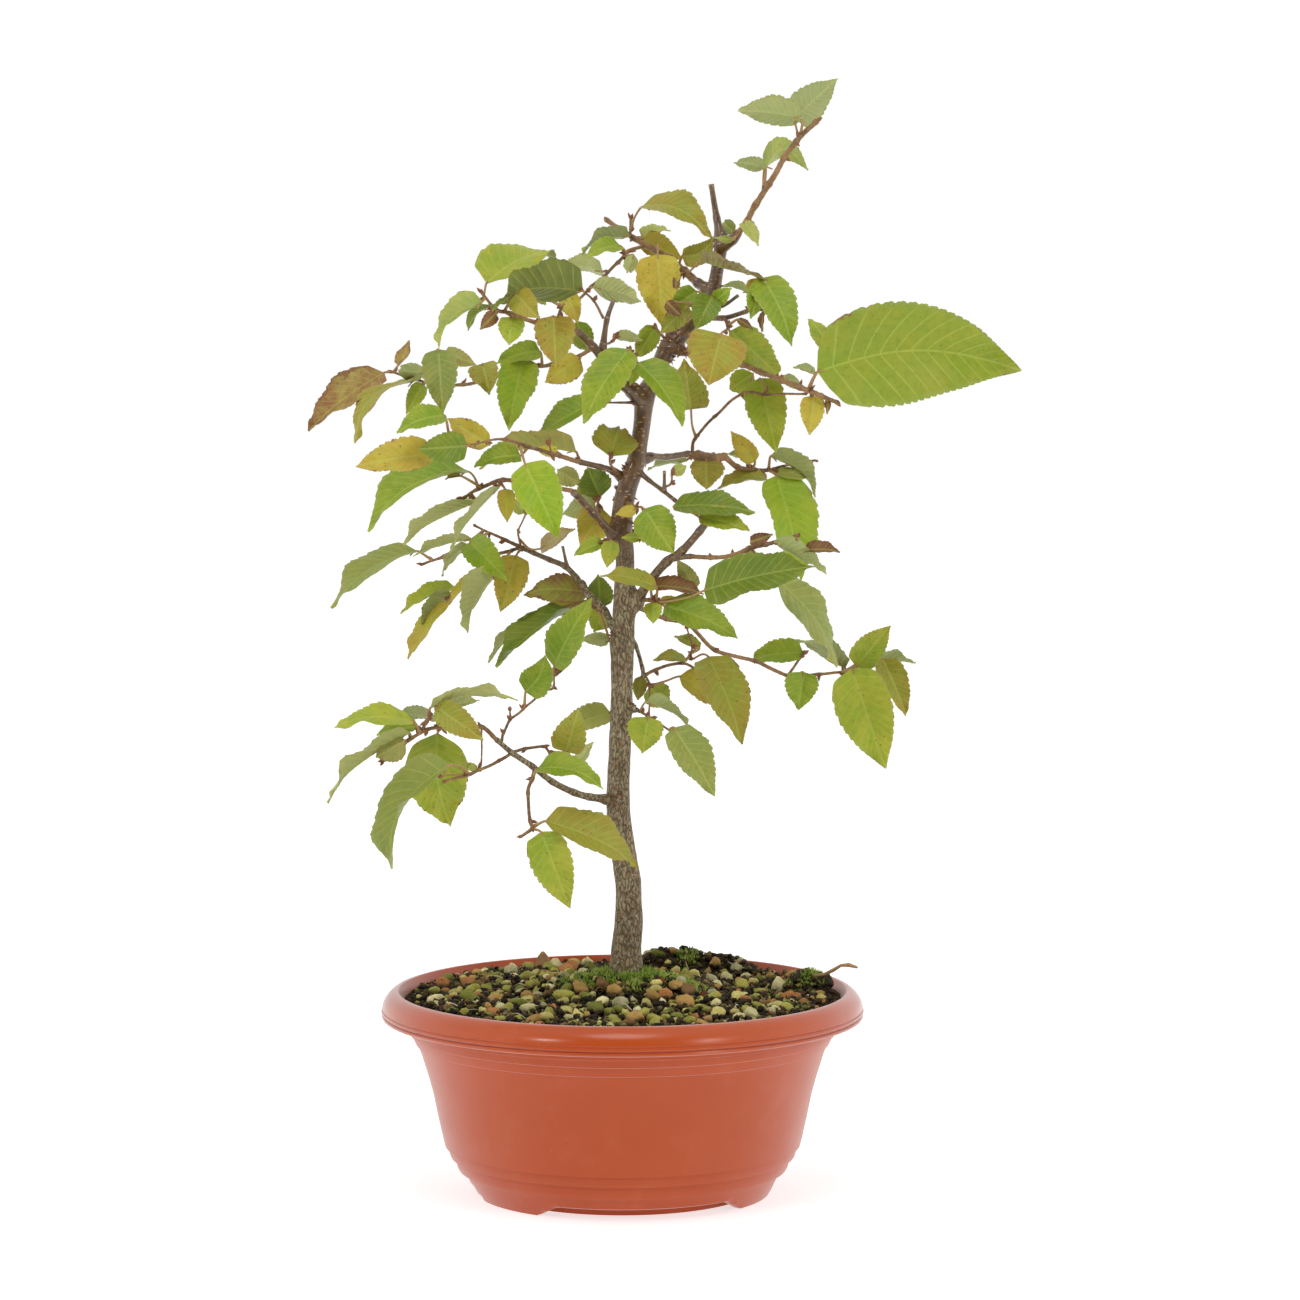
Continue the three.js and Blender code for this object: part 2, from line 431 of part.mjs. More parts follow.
      ["grey", "under", [69, 297, -36], [93, 283, -46], 7, 1, 0],
      ["brown", "front", [82, 293, -39], [98.5, 292.5, -46], 6, 1, 0],
      ["brown", "front", [58, 297, -31], [68, 300.5, -34], 6, 1, 0],
      ["grey", "front", [70, 280, -24], [98.5, 240.5, -12], 14, 4, 0],
    ],
  },
  "swelling": {
    "twigs": [[[8, 271, -3, 1.2], [13, 270.5, -8, 0.9], [16, 270, -10, 0.7]]],
    "leaves": [
      ["brown", "front", [13, 277, -9], [37, 274, -16], 8, 1, 0],
      ["olive", "front", [15.5, 276.5, -13], [-10, 282, -17], 9, 2, 0],
      ["lime", "front", [13.5, 269.5, -10], [14, 260, -13], 9, 1, 0],
      ["fresh", "front", [19, 268, -12], [52.5, 254.5, -24], 15, 2, 0],
      ["yellow", "front", [17, 270.5, -6], [27, 270, -3], 5, 0, 0],
      ["dark", "front", [37, 275, -32], [87, 286, -48], 21, 2, 0, [[20, 270, -14], [30, 272, -25]]],
      ["olive", "under", [33, 276, -8], [25, 289, -2], 9, 1, 0, [[22, 271, -9]]],
    ],
  },
  "right_low": {
    "twigs": [
      [[12.4, 265.1, 6.3, 1.1], [20, 262, 11, 1.05], [30, 259.6, 17, 1], [42, 248, 23, 1],
       [60, 243, 30, 0.95], [76, 236, 36, 0.9], [89, 237, 41, 0.8], [101, 238, 45, 0.7]],
      [[75, 236.5, 36, 0.7], [82, 246, 39, 0.6]],
    ],
    "leaves": [
      ["fresh", "front", [82, 246.5, 40], [57.5, 243, 46], 12, 3, 0],
      ["grey", "under", [101, 240, 47], [78, 254, 36], 8, 2, 0],
      ["lime", "front", [106, 240.5, 43], [121.5, 259, 38], 15, 1, 0],
      ["olive", "front", [118, 244, 46], [129, 218, 40], 14, 1, 0],
      ["grey", "under", [107, 242, 50], [133, 243, 56], 6, 1, 0],
      ["lime", "front", [104, 239.5, 38], [119.5, 194, 24], 29, 1, 0],
      ["fresh", "front", [82, 238, 33], [80, 221, 26], 17, 0, 0],
    ],
  },
  "right_dark": {
    "twigs": [
      [[10, 236.3, 8.2, 0.9], [15, 239, 10, 0.8], [27, 242, 16, 0.75], [37, 237, 21, 0.6]],
      [[27, 242, 16, 0.6], [31, 246.5, 14, 0.55], [31.5, 250.5, 12, 0.5], [29.3, 257.5, 9, 0.35]],
      [[10.3, 236.5, 8.2, 0.7], [12.3, 231.5, 7, 0.5], [12, 220, 6, 0.4]],
    ],
    "leaves": [
      ["olive", "front", [35, 248.5, 17], [23.5, 254.5, 24], 6, 1, 0],
      ["olive", "front", [29, 243.5, 11], [14, 243.5, 4], 6, 2, 0],
      ["yellow", "front", [26, 236, 12], [52.5, 220, 16], 14, 1, 0, [[13, 231.5, 7], [20, 234, 9]]],
      ["olive", "front", [39, 245, 7], [55, 206, -14], 22, 2, 0, [[31, 243.5, 14], [36, 246, 10]]],
      ["lime", "front", [12.5, 231.5, 10], [20, 221.5, 15], 13, 0, 0],
      ["olive", "front", [8.5, 236, 11], [7, 225, 13], 7, 0, 0],
    ],
  },
  "right_lowest": {
    "twigs": [[[8.4, 219.8, -4, 0.7], [13, 217, -7, 0.6], [22, 211, -12, 0.5]]],
    "leaves": [
      ["lime", "front", [11.5, 217.5, -8], [9, 201, -14], 17, 0, 0],
      ["grey", "under", [11, 224.5, -6], [31, 213, -15], 4, 2, 0, [[8.5, 221.5, -5]]],
      ["grey", "front", [23, 212.5, -14], [42, 181.5, -26], 18, 2, 0],
    ],
  },
  "left_spur": {
    "twigs": [[[-2, 297, -4, 0.9], [-6, 297.5, -9, 0.6], [-8, 297.3, -9.5, 0.5]]],
    "leaves": [
      ["lime", "front", [-5, 297.5, -10], [-7, 285.5, -14], 9, 1, 0],
      ["fresh", "front", [-8.5, 297, -9.5], [-22, 291, -12], 7, 1, 0],
    ],
  },
};

// Pot: the outside from the base up, over the rim and down inside, as [radius, height]
const POT_PROFILE = [
  [0, 0], [30, 0], [31, 1], [60.5, 1], [61, 5.6], [64.4, 5.6], [64.4, 0], [67.2, 0],
  [71.2, 8], [73, 11], [74.9, 11], [76.8, 17], [78.6, 17], [80, 22], [81.2, 22], [84.4, 36],
  [92, 65], [96.2, 73], [99, 80], [109, 80.2], [110, 82], [109.2, 87], [106, 91.6], [103, 93],
  [101.6, 92.6], [97, 80], [93.4, 71.5], [89.6, 64], [82.2, 36], [79, 24.2], [73, 18.4],
  [66.4, 9], [59.6, 8.4], [58, 3.2], [0, 3.2],
];
const FIRST_INNER_POINT = 25;
const FEET = 3;
const NOTCH_ANGLE = 86;
const FIRST_NOTCH = 9;
const NOTCH_HEIGHT = 5.1;
const NOTCH_SLOPE = 11;
const NOTCH_ARCS = 8;
const CLEAR_CUT = 1;
const NOTCH_INSIDE = 62.7;
const NOTCH_OUTSIDE = 72;
const FOOT_RADIUS = 67.2;
const DRAINS = 8;
const DRAIN_RADIUS = 4;
const DRAIN_RING = 45;
const DRAIN_CUT = 12;
const DRAIN_SIDES = 8;

// Soil
const SOIL_EDGE = 88.8;
const SOIL_RINGS = 8;
const SOIL_SPOKES = POT_SEGMENTS;
const TRUNK_HOLE = 8.9;
const HOLE_DEPTH = 60;
const HOLE_SIDES = 16;
const LUMPS = [
  [2, 2, 8.5, 34], [-16, -8, 3, 15], [20, -12, 3.5, 14], [14, 68, 8, 12], [32, 66, 9, 12],
  [50, 60, 7.5, 11], [84, 14, 8, 9], [92, 6, 5, 6], [-50, 20, 2.5, 22], [-20, -52, 2, 22],
  [45, -40, 2.5, 20], [-62, -30, 2, 18],
];
const GRAIN = 1.1;

function seen([x, z, y]) {
  const near = new THREE.Vector3(x, 0, z);
  return near.sub(EYE).multiplyScalar(1 + (SPREAD * y) / -EYE.y).add(EYE);
}

// Closed geometry through rings of equally many points, each ring in the same turning sense,
// ending in a flat face or, where one is given, in a point
function skin(rings, point) {
  const count = rings[0].length;
  const points = rings.flat();
  const triangles = [];
  for (let r = 0; r + 1 < rings.length; r++)
    for (let i = 0; i < count; i++) {
      const a = r * count + i;
      const b = r * count + ((i + 1) % count);
      if (i % 2) triangles.push(a, b, b + count, a, b + count, a + count);
      else triangles.push(a, b, a + count, b, b + count, a + count);
    }
  const last = (rings.length - 1) * count;
  for (let i = 1; i + 1 < count; i++) {
    triangles.push(0, i + 1, i);
    if (!point) triangles.push(last, last + i, last + i + 1);
  }
  if (point) {
    for (let i = 0; i < count; i++) triangles.push(last + i, last + ((i + 1) % count), points.length);
    points.push(point);
  }
  const made = new THREE.BufferGeometry().setFromPoints(points);
  made.setIndex(triangles);
  return made;
}

// A three.js geometry as a solid, and back again
function solidOf(geometry) {
  const bare = geometry.clone();
  bare.deleteAttribute("normal");
  bare.deleteAttribute("uv");
  const merged = mergeVertices(bare, WELD);
  const made = new wasm.Manifold(
    new wasm.Mesh({
      numProp: 3,
      vertProperties: new Float32Array(merged.attributes.position.array),
      triVerts: new Uint32Array(merged.index.array),
    }),
  );
  return made;
}

function geometryOf(solid) {
  const mesh = solid.getMesh();
  const points = new Float32Array(mesh.numVert * 3);
  for (let i = 0; i < mesh.numVert; i++)
    for (let k = 0; k < 3; k++) points[i * 3 + k] = mesh.vertProperties[i * mesh.numProp + k];
  const made = new THREE.BufferGeometry();
  made.setAttribute("position", new THREE.BufferAttribute(points, 3));
  made.setIndex(new THREE.BufferAttribute(new Uint32Array(mesh.triVerts), 1));
  made.computeVertexNormals();
  return made;
}

function joined(solids) {
  return solids.reduce((all, one) => all.add(one));
}

function largest(solid) {
  return solid.decompose().sort((a, b) => b.volume() - a.volume())[0];
}

// Tube through points of [x, z, y, radius], grown by extra all round
function limb(path, sides, extra = 0) {
  const centres = path.map(seen);
  const tangents = centres.map((p, i) => {
    const next = centres[Math.min(i + 1, centres.length - 1)];
    return next.clone().sub(centres[Math.max(i - 1, 0)]).normalize();
  });
  const start = centres[0].clone().addScaledVector(tangents[0], -extra);
  const end = centres.at(-1).clone().addScaledVector(tangents.at(-1), extra);
  let across = new THREE.Vector3(0, 1, 0).cross(tangents[0]).normalize();
  const rings = centres.map((centre, i) => {
    const middle = i === 0 ? start : i === centres.length - 1 ? end : centre;
    const along = tangents[i];
    across = across.clone().addScaledVector(along, -across.dot(along)).normalize();
    const up = along.clone().cross(across);
    const radius = path[i][3] + extra;
    return Array.from({ length: sides }, (_, k) => {
      const turn = (2 * Math.PI * k) / sides;
      return middle
        .clone()
        .addScaledVector(across, radius * Math.cos(turn))
        .addScaledVector(up, radius * Math.sin(turn));
    });
  });
  return solidOf(skin(rings));
}

function sidesOf(path) {
  return Math.max(...path.map((p) => p[3])) < THIN_TWIG ? TWIG_SIDES - 1 : TWIG_SIDES;
}

// Tip of a blade, whose own depth isn't spread
function bladeTip([, , y], [tipX, tipZ, tipY]) {
  return [tipX, tipZ, y + (tipY - y) / SPREAD];
}

// Ovate outline with a rounded base and a long point: half width for t from 0 to 1
function outline(t) {
  return Math.sin(Math.PI * t ** WIDE_NEAR_BASE) ** FULLNESS;
}

// Nearest point to a place on any of the twigs' centre lines, kept a little inside their ends
function nearestOn(twigs, place) {
  let best = null;
  let least = Infinity;
  for (const twig of twigs) {
    const line = twig.map(seen);
    const final = line.at(-1);
    final.addScaledVector(line.at(-2).clone().sub(final).normalize(), END_SINK);
    for (let i = 0; i + 1 < line.length; i++) {
      const near = new THREE.Vector3();
      new THREE.Line3(line[i], line[i + 1]).closestPointToPoint(place, true, near);
      if (near.distanceTo(place) < least) {
        least = near.distanceTo(place);
        best = near;
      }
    }
  }
  return best;
}

// Frame of a leaf: along its midrib, across it, and out of its upper face
function leafFrame(face, base, tip, wide) {
  const along = tip.clone().sub(base);
  const length = along.length();
  along.normalize();
  const toEye = EYE.clone().sub(base).normalize();
  const across = along.clone().cross(toEye).normalize();
  const facing = across.clone().cross(along).normalize();
  const width = Math.max(wide, LEAF_RATIO * length);
  const lean = Math.acos(Math.min(1, wide / width));
  const turn = face === "under" ? Math.PI - lean : lean;
  const upward = across.z + EDGE_ON * across.x > 0 ? across.clone() : across.clone().negate();
  const out = facing.multiplyScalar(Math.cos(turn)).addScaledVector(upward, Math.sin(turn)).normalize();
  return { along, across: along.clone().cross(out).normalize(), out, length, width };
}

function foldOf(base) {
  const share = Math.abs(Math.sin(base.x * FOLD_CHANGE + base.z));
  return THREE.MathUtils.degToRad(LEAST_FOLD + FOLD_RANGE * share);
}

// One leaf with its stalk: a lens-shaped section swept along the midrib, wide at each tooth and
// narrower between teeth
function leaf([, face, from, to, wide, arch, bend, stalk = []], twigs) {
  const base = seen(from);
  const tip = seen(bladeTip(from, to));
  const { along, across, out, length, width } = leafFrame(face, base, tip, wide);
  const fold = foldOf(base);
  const rings = [];
  const section = (middle, side, normal, half, thick, lift) => {
    const rim = middle.clone().addScaledVector(normal, lift);
    rings.push([
      rim.clone().addScaledVector(side, -half),
      middle.clone().addScaledVector(normal, thick / 2),
      rim.clone().addScaledVector(side, half),
      middle.clone().addScaledVector(normal, -thick / 2),
    ]);
  };
  const stem = stalk.length ? stalk.map(seen) : [];
  const foot = nearestOn(twigs, stem[0] ?? base);
  const places = [foot, ...stem.filter((p) => p.distanceTo(foot) > LEAST_STEM), base];
  for (let i = 0; i + 1 < places.length; i++) {
    const next = places[i + 1].clone().sub(places[Math.max(i - 1, 0)]).normalize();
    const side = along.clone().add(next).cross(out).normalize();
    const normal = side.clone().cross(next).normalize();
    section(places[i], side, normal, STALK_RADIUS, 2 * STALK_RADIUS, 0);
  }
  const teeth = TEETH.find(([least]) => length > least)[1];
  const steps = 2 * teeth;
  const joins = stem.length === 0 && foot.distanceTo(base) < SHORT_STALK;
  for (let i = joins ? 1 : 0; i < steps; i++) {
    const t = i / steps;
    const tooth = i % 2 === 1;
    const bulge = Math.sin(Math.PI * t);
    const slope = (Math.PI * Math.cos(Math.PI * t)) / length;
    const tangent = along.clone().addScaledVector(out, arch * slope).addScaledVector(across, bend * slope);
    tangent.normalize();
    const normal = across.clone().cross(tangent).normalize();
    const side = tangent.clone().cross(normal).normalize();
    const middle = base
      .clone()
      .addScaledVector(along, t * length)
      .addScaledVector(out, arch * bulge)
      .addScaledVector(across, bend * bulge);
    const full = (i ? outline(t) : 0) * (width / 2) * (tooth || !i ? 1 : NOTCH);
    const half = Math.max(full * Math.cos(fold), STALK_RADIUS);
    const thick = BLADE_THICK * (1 - BLADE_TAPER * t);
    section(middle, side, normal, half, thick, full * Math.sin(fold));
  }
  return solidOf(skin(rings, tip));
}

// Trunk with its branches, and the same wood grown by the gap that its neighbours keep
const trunkWith = (extra) =>
  joined(
    Object.entries(WOOD).map(([name, path]) =>
      limb(path, name === "trunk" ? TRUNK_SIDES : BRANCH_SIDES, extra),
    ),
  );

// Blades shorter than LEAST_BLADE are left to the render
function isLong([, , from, to]) {
  return seen(from).distanceTo(seen(bladeTip(from, to))) > LEAST_BLADE;
}

function shoot({ twigs, leaves }, clear) {
  const wood = twigs.map((path) => limb(path, sidesOf(path)));
  const blades = leaves.filter(isLong).map((row) => leaf(row, twigs));
  return largest(joined([...wood, ...blades]).subtract(clear));
}

// Cutter for one arched opening between the pot's feet
function notchSolid(turn) {
  const half = THREE.MathUtils.degToRad(NOTCH_ANGLE / 2);
  const slope = NOTCH_SLOPE / FOOT_RADIUS;
  const angles = [-half, -half + slope];
  for (let i = 1; i < NOTCH_ARCS; i++) angles.push((half - slope) * ((2 * i) / NOTCH_ARCS - 1));
  angles.push(half - slope, half);
  const rings = angles.map((angle, i) => {
    const top = i === 0 || i === angles.length - 1 ? 0 : NOTCH_HEIGHT;
    const at = (radius, height) =>
      new THREE.Vector3(radius * Math.sin(angle + turn), -radius * Math.cos(angle + turn), height);
    const inside = [at(NOTCH_INSIDE, -CLEAR_CUT), at(NOTCH_INSIDE, top)];
    return [...inside, at(NOTCH_OUTSIDE, top), at(NOTCH_OUTSIDE, -CLEAR_CUT)];
  });
  return solidOf(skin(rings));
}

function pot() {
  const profile = POT_PROFILE.map(([radius, height]) => new THREE.Vector2(radius, height));
  const turned = new THREE.LatheGeometry(profile, POT_SEGMENTS);
  turned.rotateX(Math.PI / 2);
  let made = solidOf(turned);
  for (let i = 0; i < FEET; i++)
    made = made.subtract(notchSolid(THREE.MathUtils.degToRad(FIRST_NOTCH + (i * 360) / FEET)));
  for (let i = 0; i < DRAINS; i++) {
    const drain = new THREE.CylinderGeometry(DRAIN_RADIUS, DRAIN_RADIUS, DRAIN_CUT, DRAIN_SIDES);
    drain.rotateX(Math.PI / 2);
    const angle = ((i + 0.5) / DRAINS) * 2 * Math.PI;
    drain.translate(DRAIN_RING * Math.cos(angle), DRAIN_RING * Math.sin(angle), 0);
    made = made.subtract(solidOf(drain));
  }
  return made;
}

// Soil surface: a low mound round the trunk, lumps of humus and coarse grain
function random(seed) {
  const x = Math.sin(seed * 127.1 + 311.7) * 43758.5453;
  return x - Math.floor(x);
}

function soilTop(x, y) {
  let height = SOIL_EDGE;
  for (const [u, v, rise, spread] of LUMPS)
    height += rise * Math.exp(-((x - u) ** 2 + (y - v) ** 2) / spread ** 2);
  return height;
}

function soil() {
  const inside = POT_PROFILE.slice(FIRST_INNER_POINT);
  const walls = inside.map(([radius, height]) => [Math.max(radius - GAP, 0), height + GAP]);
  const [[lip, lipHeight], [wall, wallHeight]] = POT_PROFILE.slice(FIRST_INNER_POINT - 1);
  const edge = lip - GAP + ((wall - lip) * (SOIL_EDGE - lipHeight)) / (wallHeight - lipHeight);
  const top = [];
  for (let r = 1; r <= SOIL_RINGS; r++)
    for (let s = 0; s < SOIL_SPOKES; s++) {
      const outer = r === SOIL_RINGS;
      const turn = ((s + (r % 2) / 2) / SOIL_SPOKES) * 2 * Math.PI;
      const radius = (edge * r) / SOIL_RINGS;
      const x = radius * Math.cos(turn);
      const y = radius * Math.sin(turn);
      const grain = outer ? 0 : GRAIN * (2 * random(r * 100 + s) - 1);
      top.push(new THREE.Vector3(x, y, soilTop(x, y) + grain));
    }
  const points = [new THREE.Vector3(0, 0, soilTop(0, 0)), ...top];
  const triangles = [];
  const at = (r, s) => (r === 0 ? 0 : 1 + (r - 1) * SOIL_SPOKES + ((s + SOIL_SPOKES) % SOIL_SPOKES));
  for (let s = 0; s < SOIL_SPOKES; s++) triangles.push(0, at(1, s), at(1, s + 1));
  for (let r = 1; r < SOIL_RINGS; r++)
    for (let s = 0; s < SOIL_SPOKES; s++) {
      const shift = r % 2 ? 1 : 0;
      triangles.push(at(r, s), at(r + 1, s + shift), at(r, s + 1));
      triangles.push(at(r, s + 1), at(r + 1, s + shift), at(r + 1, s + 1 + shift));
    }
  let ring = SOIL_RINGS;
  for (const [radius, height] of walls) {
    for (let s = 0; s < SOIL_SPOKES; s++) {
      const turn = ((s + (SOIL_RINGS % 2) / 2) / SOIL_SPOKES) * 2 * Math.PI;
      points.push(new THREE.Vector3(radius * Math.cos(turn), radius * Math.sin(turn), height));
    }
    for (let s = 0; s < SOIL_SPOKES; s++) {
      triangles.push(at(ring, s), at(ring + 1, s), at(ring, s + 1));
      triangles.push(at(ring, s + 1), at(ring + 1, s), at(ring + 1, s + 1));
    }
    ring += 1;
  }
  const bottom = points.length;
  points.push(new THREE.Vector3(0, 0, walls.at(-1)[1]));
  for (let s = 0; s < SOIL_SPOKES; s++) triangles.push(at(ring, s), bottom, at(ring, s + 1));
  const made = new THREE.BufferGeometry().setFromPoints(points);
  made.setIndex(triangles);
  const hole = new THREE.CylinderGeometry(TRUNK_HOLE, TRUNK_HOLE, HOLE_DEPTH, HOLE_SIDES);
  hole.rotateX(Math.PI / 2);
  const [x] = WOOD.trunk[0];
  hole.translate(x, 0, WOOD.trunk[0][1] - GAP + HOLE_DEPTH / 2);
  return solidOf(made).subtract(solidOf(hole));
}

// Finishes
const PLASTIC = new THREE.MeshStandardMaterial({ color: 0xa74b32, roughness: 0.45, metalness: 0 });
const HUMUS = new THREE.MeshStandardMaterial({ color: 0x3b3024, roughness: 0.95, metalness: 0 });
const BARK = new THREE.MeshStandardMaterial({ color: 0x6b5644, roughness: 0.8, metalness: 0 });
const LEAF = new THREE.MeshStandardMaterial({ color: 0x7f9a3a, roughness: 0.6, metalness: 0 });

const bonsai = new THREE.Group();

function add(name, solid, material) {
  const mesh = new THREE.Mesh(geometryOf(solid), material);
  mesh.name = name;
  bonsai.add(mesh);
}

add("pot", pot(), PLASTIC);
add("soil", soil(), HUMUS);
add("trunk", trunkWith(0), BARK);
const clear = trunkWith(GAP);
for (const [name, rows] of Object.entries(SHOOTS)) add("shoot_" + name, shoot(rows, clear), LEAF);

export default bonsai;
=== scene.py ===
# Looks of a Korean hornbeam bonsai in its round plastic training pot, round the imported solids.
# Millimetres inside the functions, metres in the finished meshes. +Z is up, -Y faces the viewer.
#
# The tree is drawn from its front view, as the solids are: points are [x, z, y], where the point
# appears on the upright plane through the trunk, for an eye at EYE, and then its depth.
import math
import random

import bmesh
import bpy
import numpy as np
from mathutils import Euler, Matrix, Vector, noise


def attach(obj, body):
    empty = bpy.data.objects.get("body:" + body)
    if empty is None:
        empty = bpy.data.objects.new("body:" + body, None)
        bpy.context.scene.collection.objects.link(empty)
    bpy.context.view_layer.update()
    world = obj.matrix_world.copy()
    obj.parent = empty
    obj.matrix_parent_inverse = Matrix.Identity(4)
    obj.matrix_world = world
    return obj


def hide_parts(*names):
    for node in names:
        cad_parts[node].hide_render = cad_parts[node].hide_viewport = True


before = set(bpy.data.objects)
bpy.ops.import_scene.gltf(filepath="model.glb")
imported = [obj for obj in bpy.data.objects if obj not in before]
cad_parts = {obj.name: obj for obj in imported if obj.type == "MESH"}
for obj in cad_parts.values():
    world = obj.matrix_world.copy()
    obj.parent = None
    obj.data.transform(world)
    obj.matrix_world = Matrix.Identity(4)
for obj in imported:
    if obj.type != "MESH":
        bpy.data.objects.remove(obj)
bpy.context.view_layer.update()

# Driving dimensions, as in the solids
MM = 0.001
EYE = np.array([12.5, -1950.0, 407.0])
AIM = np.array([12.5, 0.0, 248.0])
LENS_MM = 119.5
SENSOR_MM = 36.0
SPREAD = 1.6
LEAF_RATIO = 0.52
STALK_RADIUS = 0.5
END_SINK = 1.0
LEAST_RADIUS = 0.2

# Wood of one growth with the trunk: [x, z, y, radius]
WOOD = {
  "trunk": [
    [2, 70, 0, 8], [2, 95, 0, 8.3], [2, 101, 0, 7.5], [1.9, 110, 0, 6.9], [2.5, 120, 0, 6.5],
    [2.8, 130, 0, 6.2], [2.7, 140, 0, 5.8], [1.3, 150, 0, 5.6], [0, 160, 0, 5.5],
    [-1.4, 170, 0, 5.5], [-1.9, 180, 0, 5.2], [-1.2, 200, 0, 4.9], [-0.5, 220, 0, 5],
    [0, 240, 1, 5.1], [0.2, 260, 1, 5.1], [1.2, 270, 0, 5.5], [0.9, 280, 0, 4.6],
    [1.2, 290, 0, 4.4], [-0.3, 300, -1, 5], [0.2, 311, -1, 4.8], [2, 321, -2, 4.6],
    [5.5, 331, -2, 4.1], [7.5, 341, -2, 3.8], [9, 351, -1, 3.9], [10.4, 363, 0, 4.3],
    [14.5, 371, 1, 3.9], [17.8, 379, 2, 3.9], [23, 387, 3, 4.6], [31, 396, 3, 3.6],
    [38, 405, 2, 3.1], [41, 411, 2, 3], [43, 421, 1, 2.9], [44.5, 430, 0, 2.8], [45, 435.5, 0, 2.3],
  ],
  "low_left": [
    [0, 178, 0, 2.4], [-8, 180, -2, 1.9], [-15, 181, -5, 1.6], [-22, 183, -9, 1.5],
    [-32, 188, -14, 1.4], [-41, 195, -19, 1.3], [-50, 201, -24, 1.2], [-57, 207, -27, 1.1],
  ],
  "left_mid": [
    [0, 253, 0, 1.9], [-5, 260, 2, 1.6], [-8, 266, 4, 1.5], [-15, 273, 8, 1.4], [-21, 281, 12, 1.35],
    [-26, 286, 15, 1.3], [-33, 289, 19, 1.2], [-40, 292, 23, 1.1], [-45, 294.3, 25.5, 1.15],
  ],
  "left_mid_stub": [[-25, 285.5, 14, 0.8], [-27, 295, 11, 0.6]],
  "left_upper": [[1, 325, 0, 1.9], [-4, 329, -4, 1.6], [-10, 331, -8, 1.3], [-19, 333.2, -12.5, 1.2]],
  "left_stub": [[0, 296, 0, 2.3], [-5, 301, -3, 1.9], [-13, 310, -9, 1.7], [-22, 319.5, -16, 1.5]],
  "fork_left": [
    [10, 360, 0, 3.1], [4, 366, -2, 2.7], [-3, 370, -5, 2.3], [-8, 378, -9, 2], [-13, 385, -12, 1.8],
    [-19.5, 391.5, -16, 1.6],
  ],
  "fork_stub": [[-9, 383, -10, 1.4], [-7, 397, -8, 1.15], [-4, 406, -6, 0.95]],
  "fork_thread": [[9, 360, 0, 0.7], [-1, 360, -5, 0.5], [-10, 360, -8, 0.35]],
  "right_big": [
    [1, 264, 0, 2.6], [6, 270, -2, 2.3], [13, 280, -6, 2], [20, 288, -10, 2], [27, 293, -13, 1.8],
    [35, 302, -17, 1.7], [38, 306, -18, 1.6],
  ],
  "right_big_side": [[23, 290, -11, 1.3], [31, 290.5, -15.5, 1.15]],
  "right_low": [[2, 270, 1, 1.6], [7, 267.5, 4, 1.2], [12, 265.3, 6, 1.1]],
  "right_dark": [[2, 256, 1, 1.4], [6, 250, 4, 0.95], [9, 240, 7, 0.9], [9.6, 236.3, 8, 0.95]],
  "right_lowest": [[1, 223, 0, 1.1], [6, 221, -3, 0.75], [8, 220, -3.8, 0.7]],
  "right_mid": [
    [7, 333.5, -1, 2], [13, 335.5, 2, 1.6], [20, 335.5, 6, 1.5], [29.5, 336.8, 11.3, 1.5],
  ],
  "right_inner": [[5, 331, -2, 1.5], [12, 325, -5, 1], [18, 320.5, -8, 0.95], [24, 315.7, -12.5, 0.9]],
  "right_inner_stub": [[19, 320, -9, 0.8], [19, 329, -12, 0.65]],
  "right_upper": [[18, 385, 2, 2.2], [27, 383, -1, 1.6], [37, 380.3, -3, 1.4]],
  "crown_stub": [[34, 399.5, 3, 1.8], [45, 398, -3, 1.2], [56, 401, -9, 1]],
  "crown_stub_small": [[37, 404, 3, 1.4], [45, 403.5, -2, 0.9], [52, 408, -8, 0.7]],
  "crown_left": [[42, 407, 2, 2.6], [38, 411, 4, 2.4], [34, 413.8, 6.5, 2.1]],
  "leader": [[44, 430, 0, 2.5], [50, 433.5, -2, 1.8], [52, 436, -3, 1.6]],
  "dead_top": [[44.5, 433, 0, 2], [42.5, 443, 2, 1.5], [40, 458, 3, 1.15]],
}

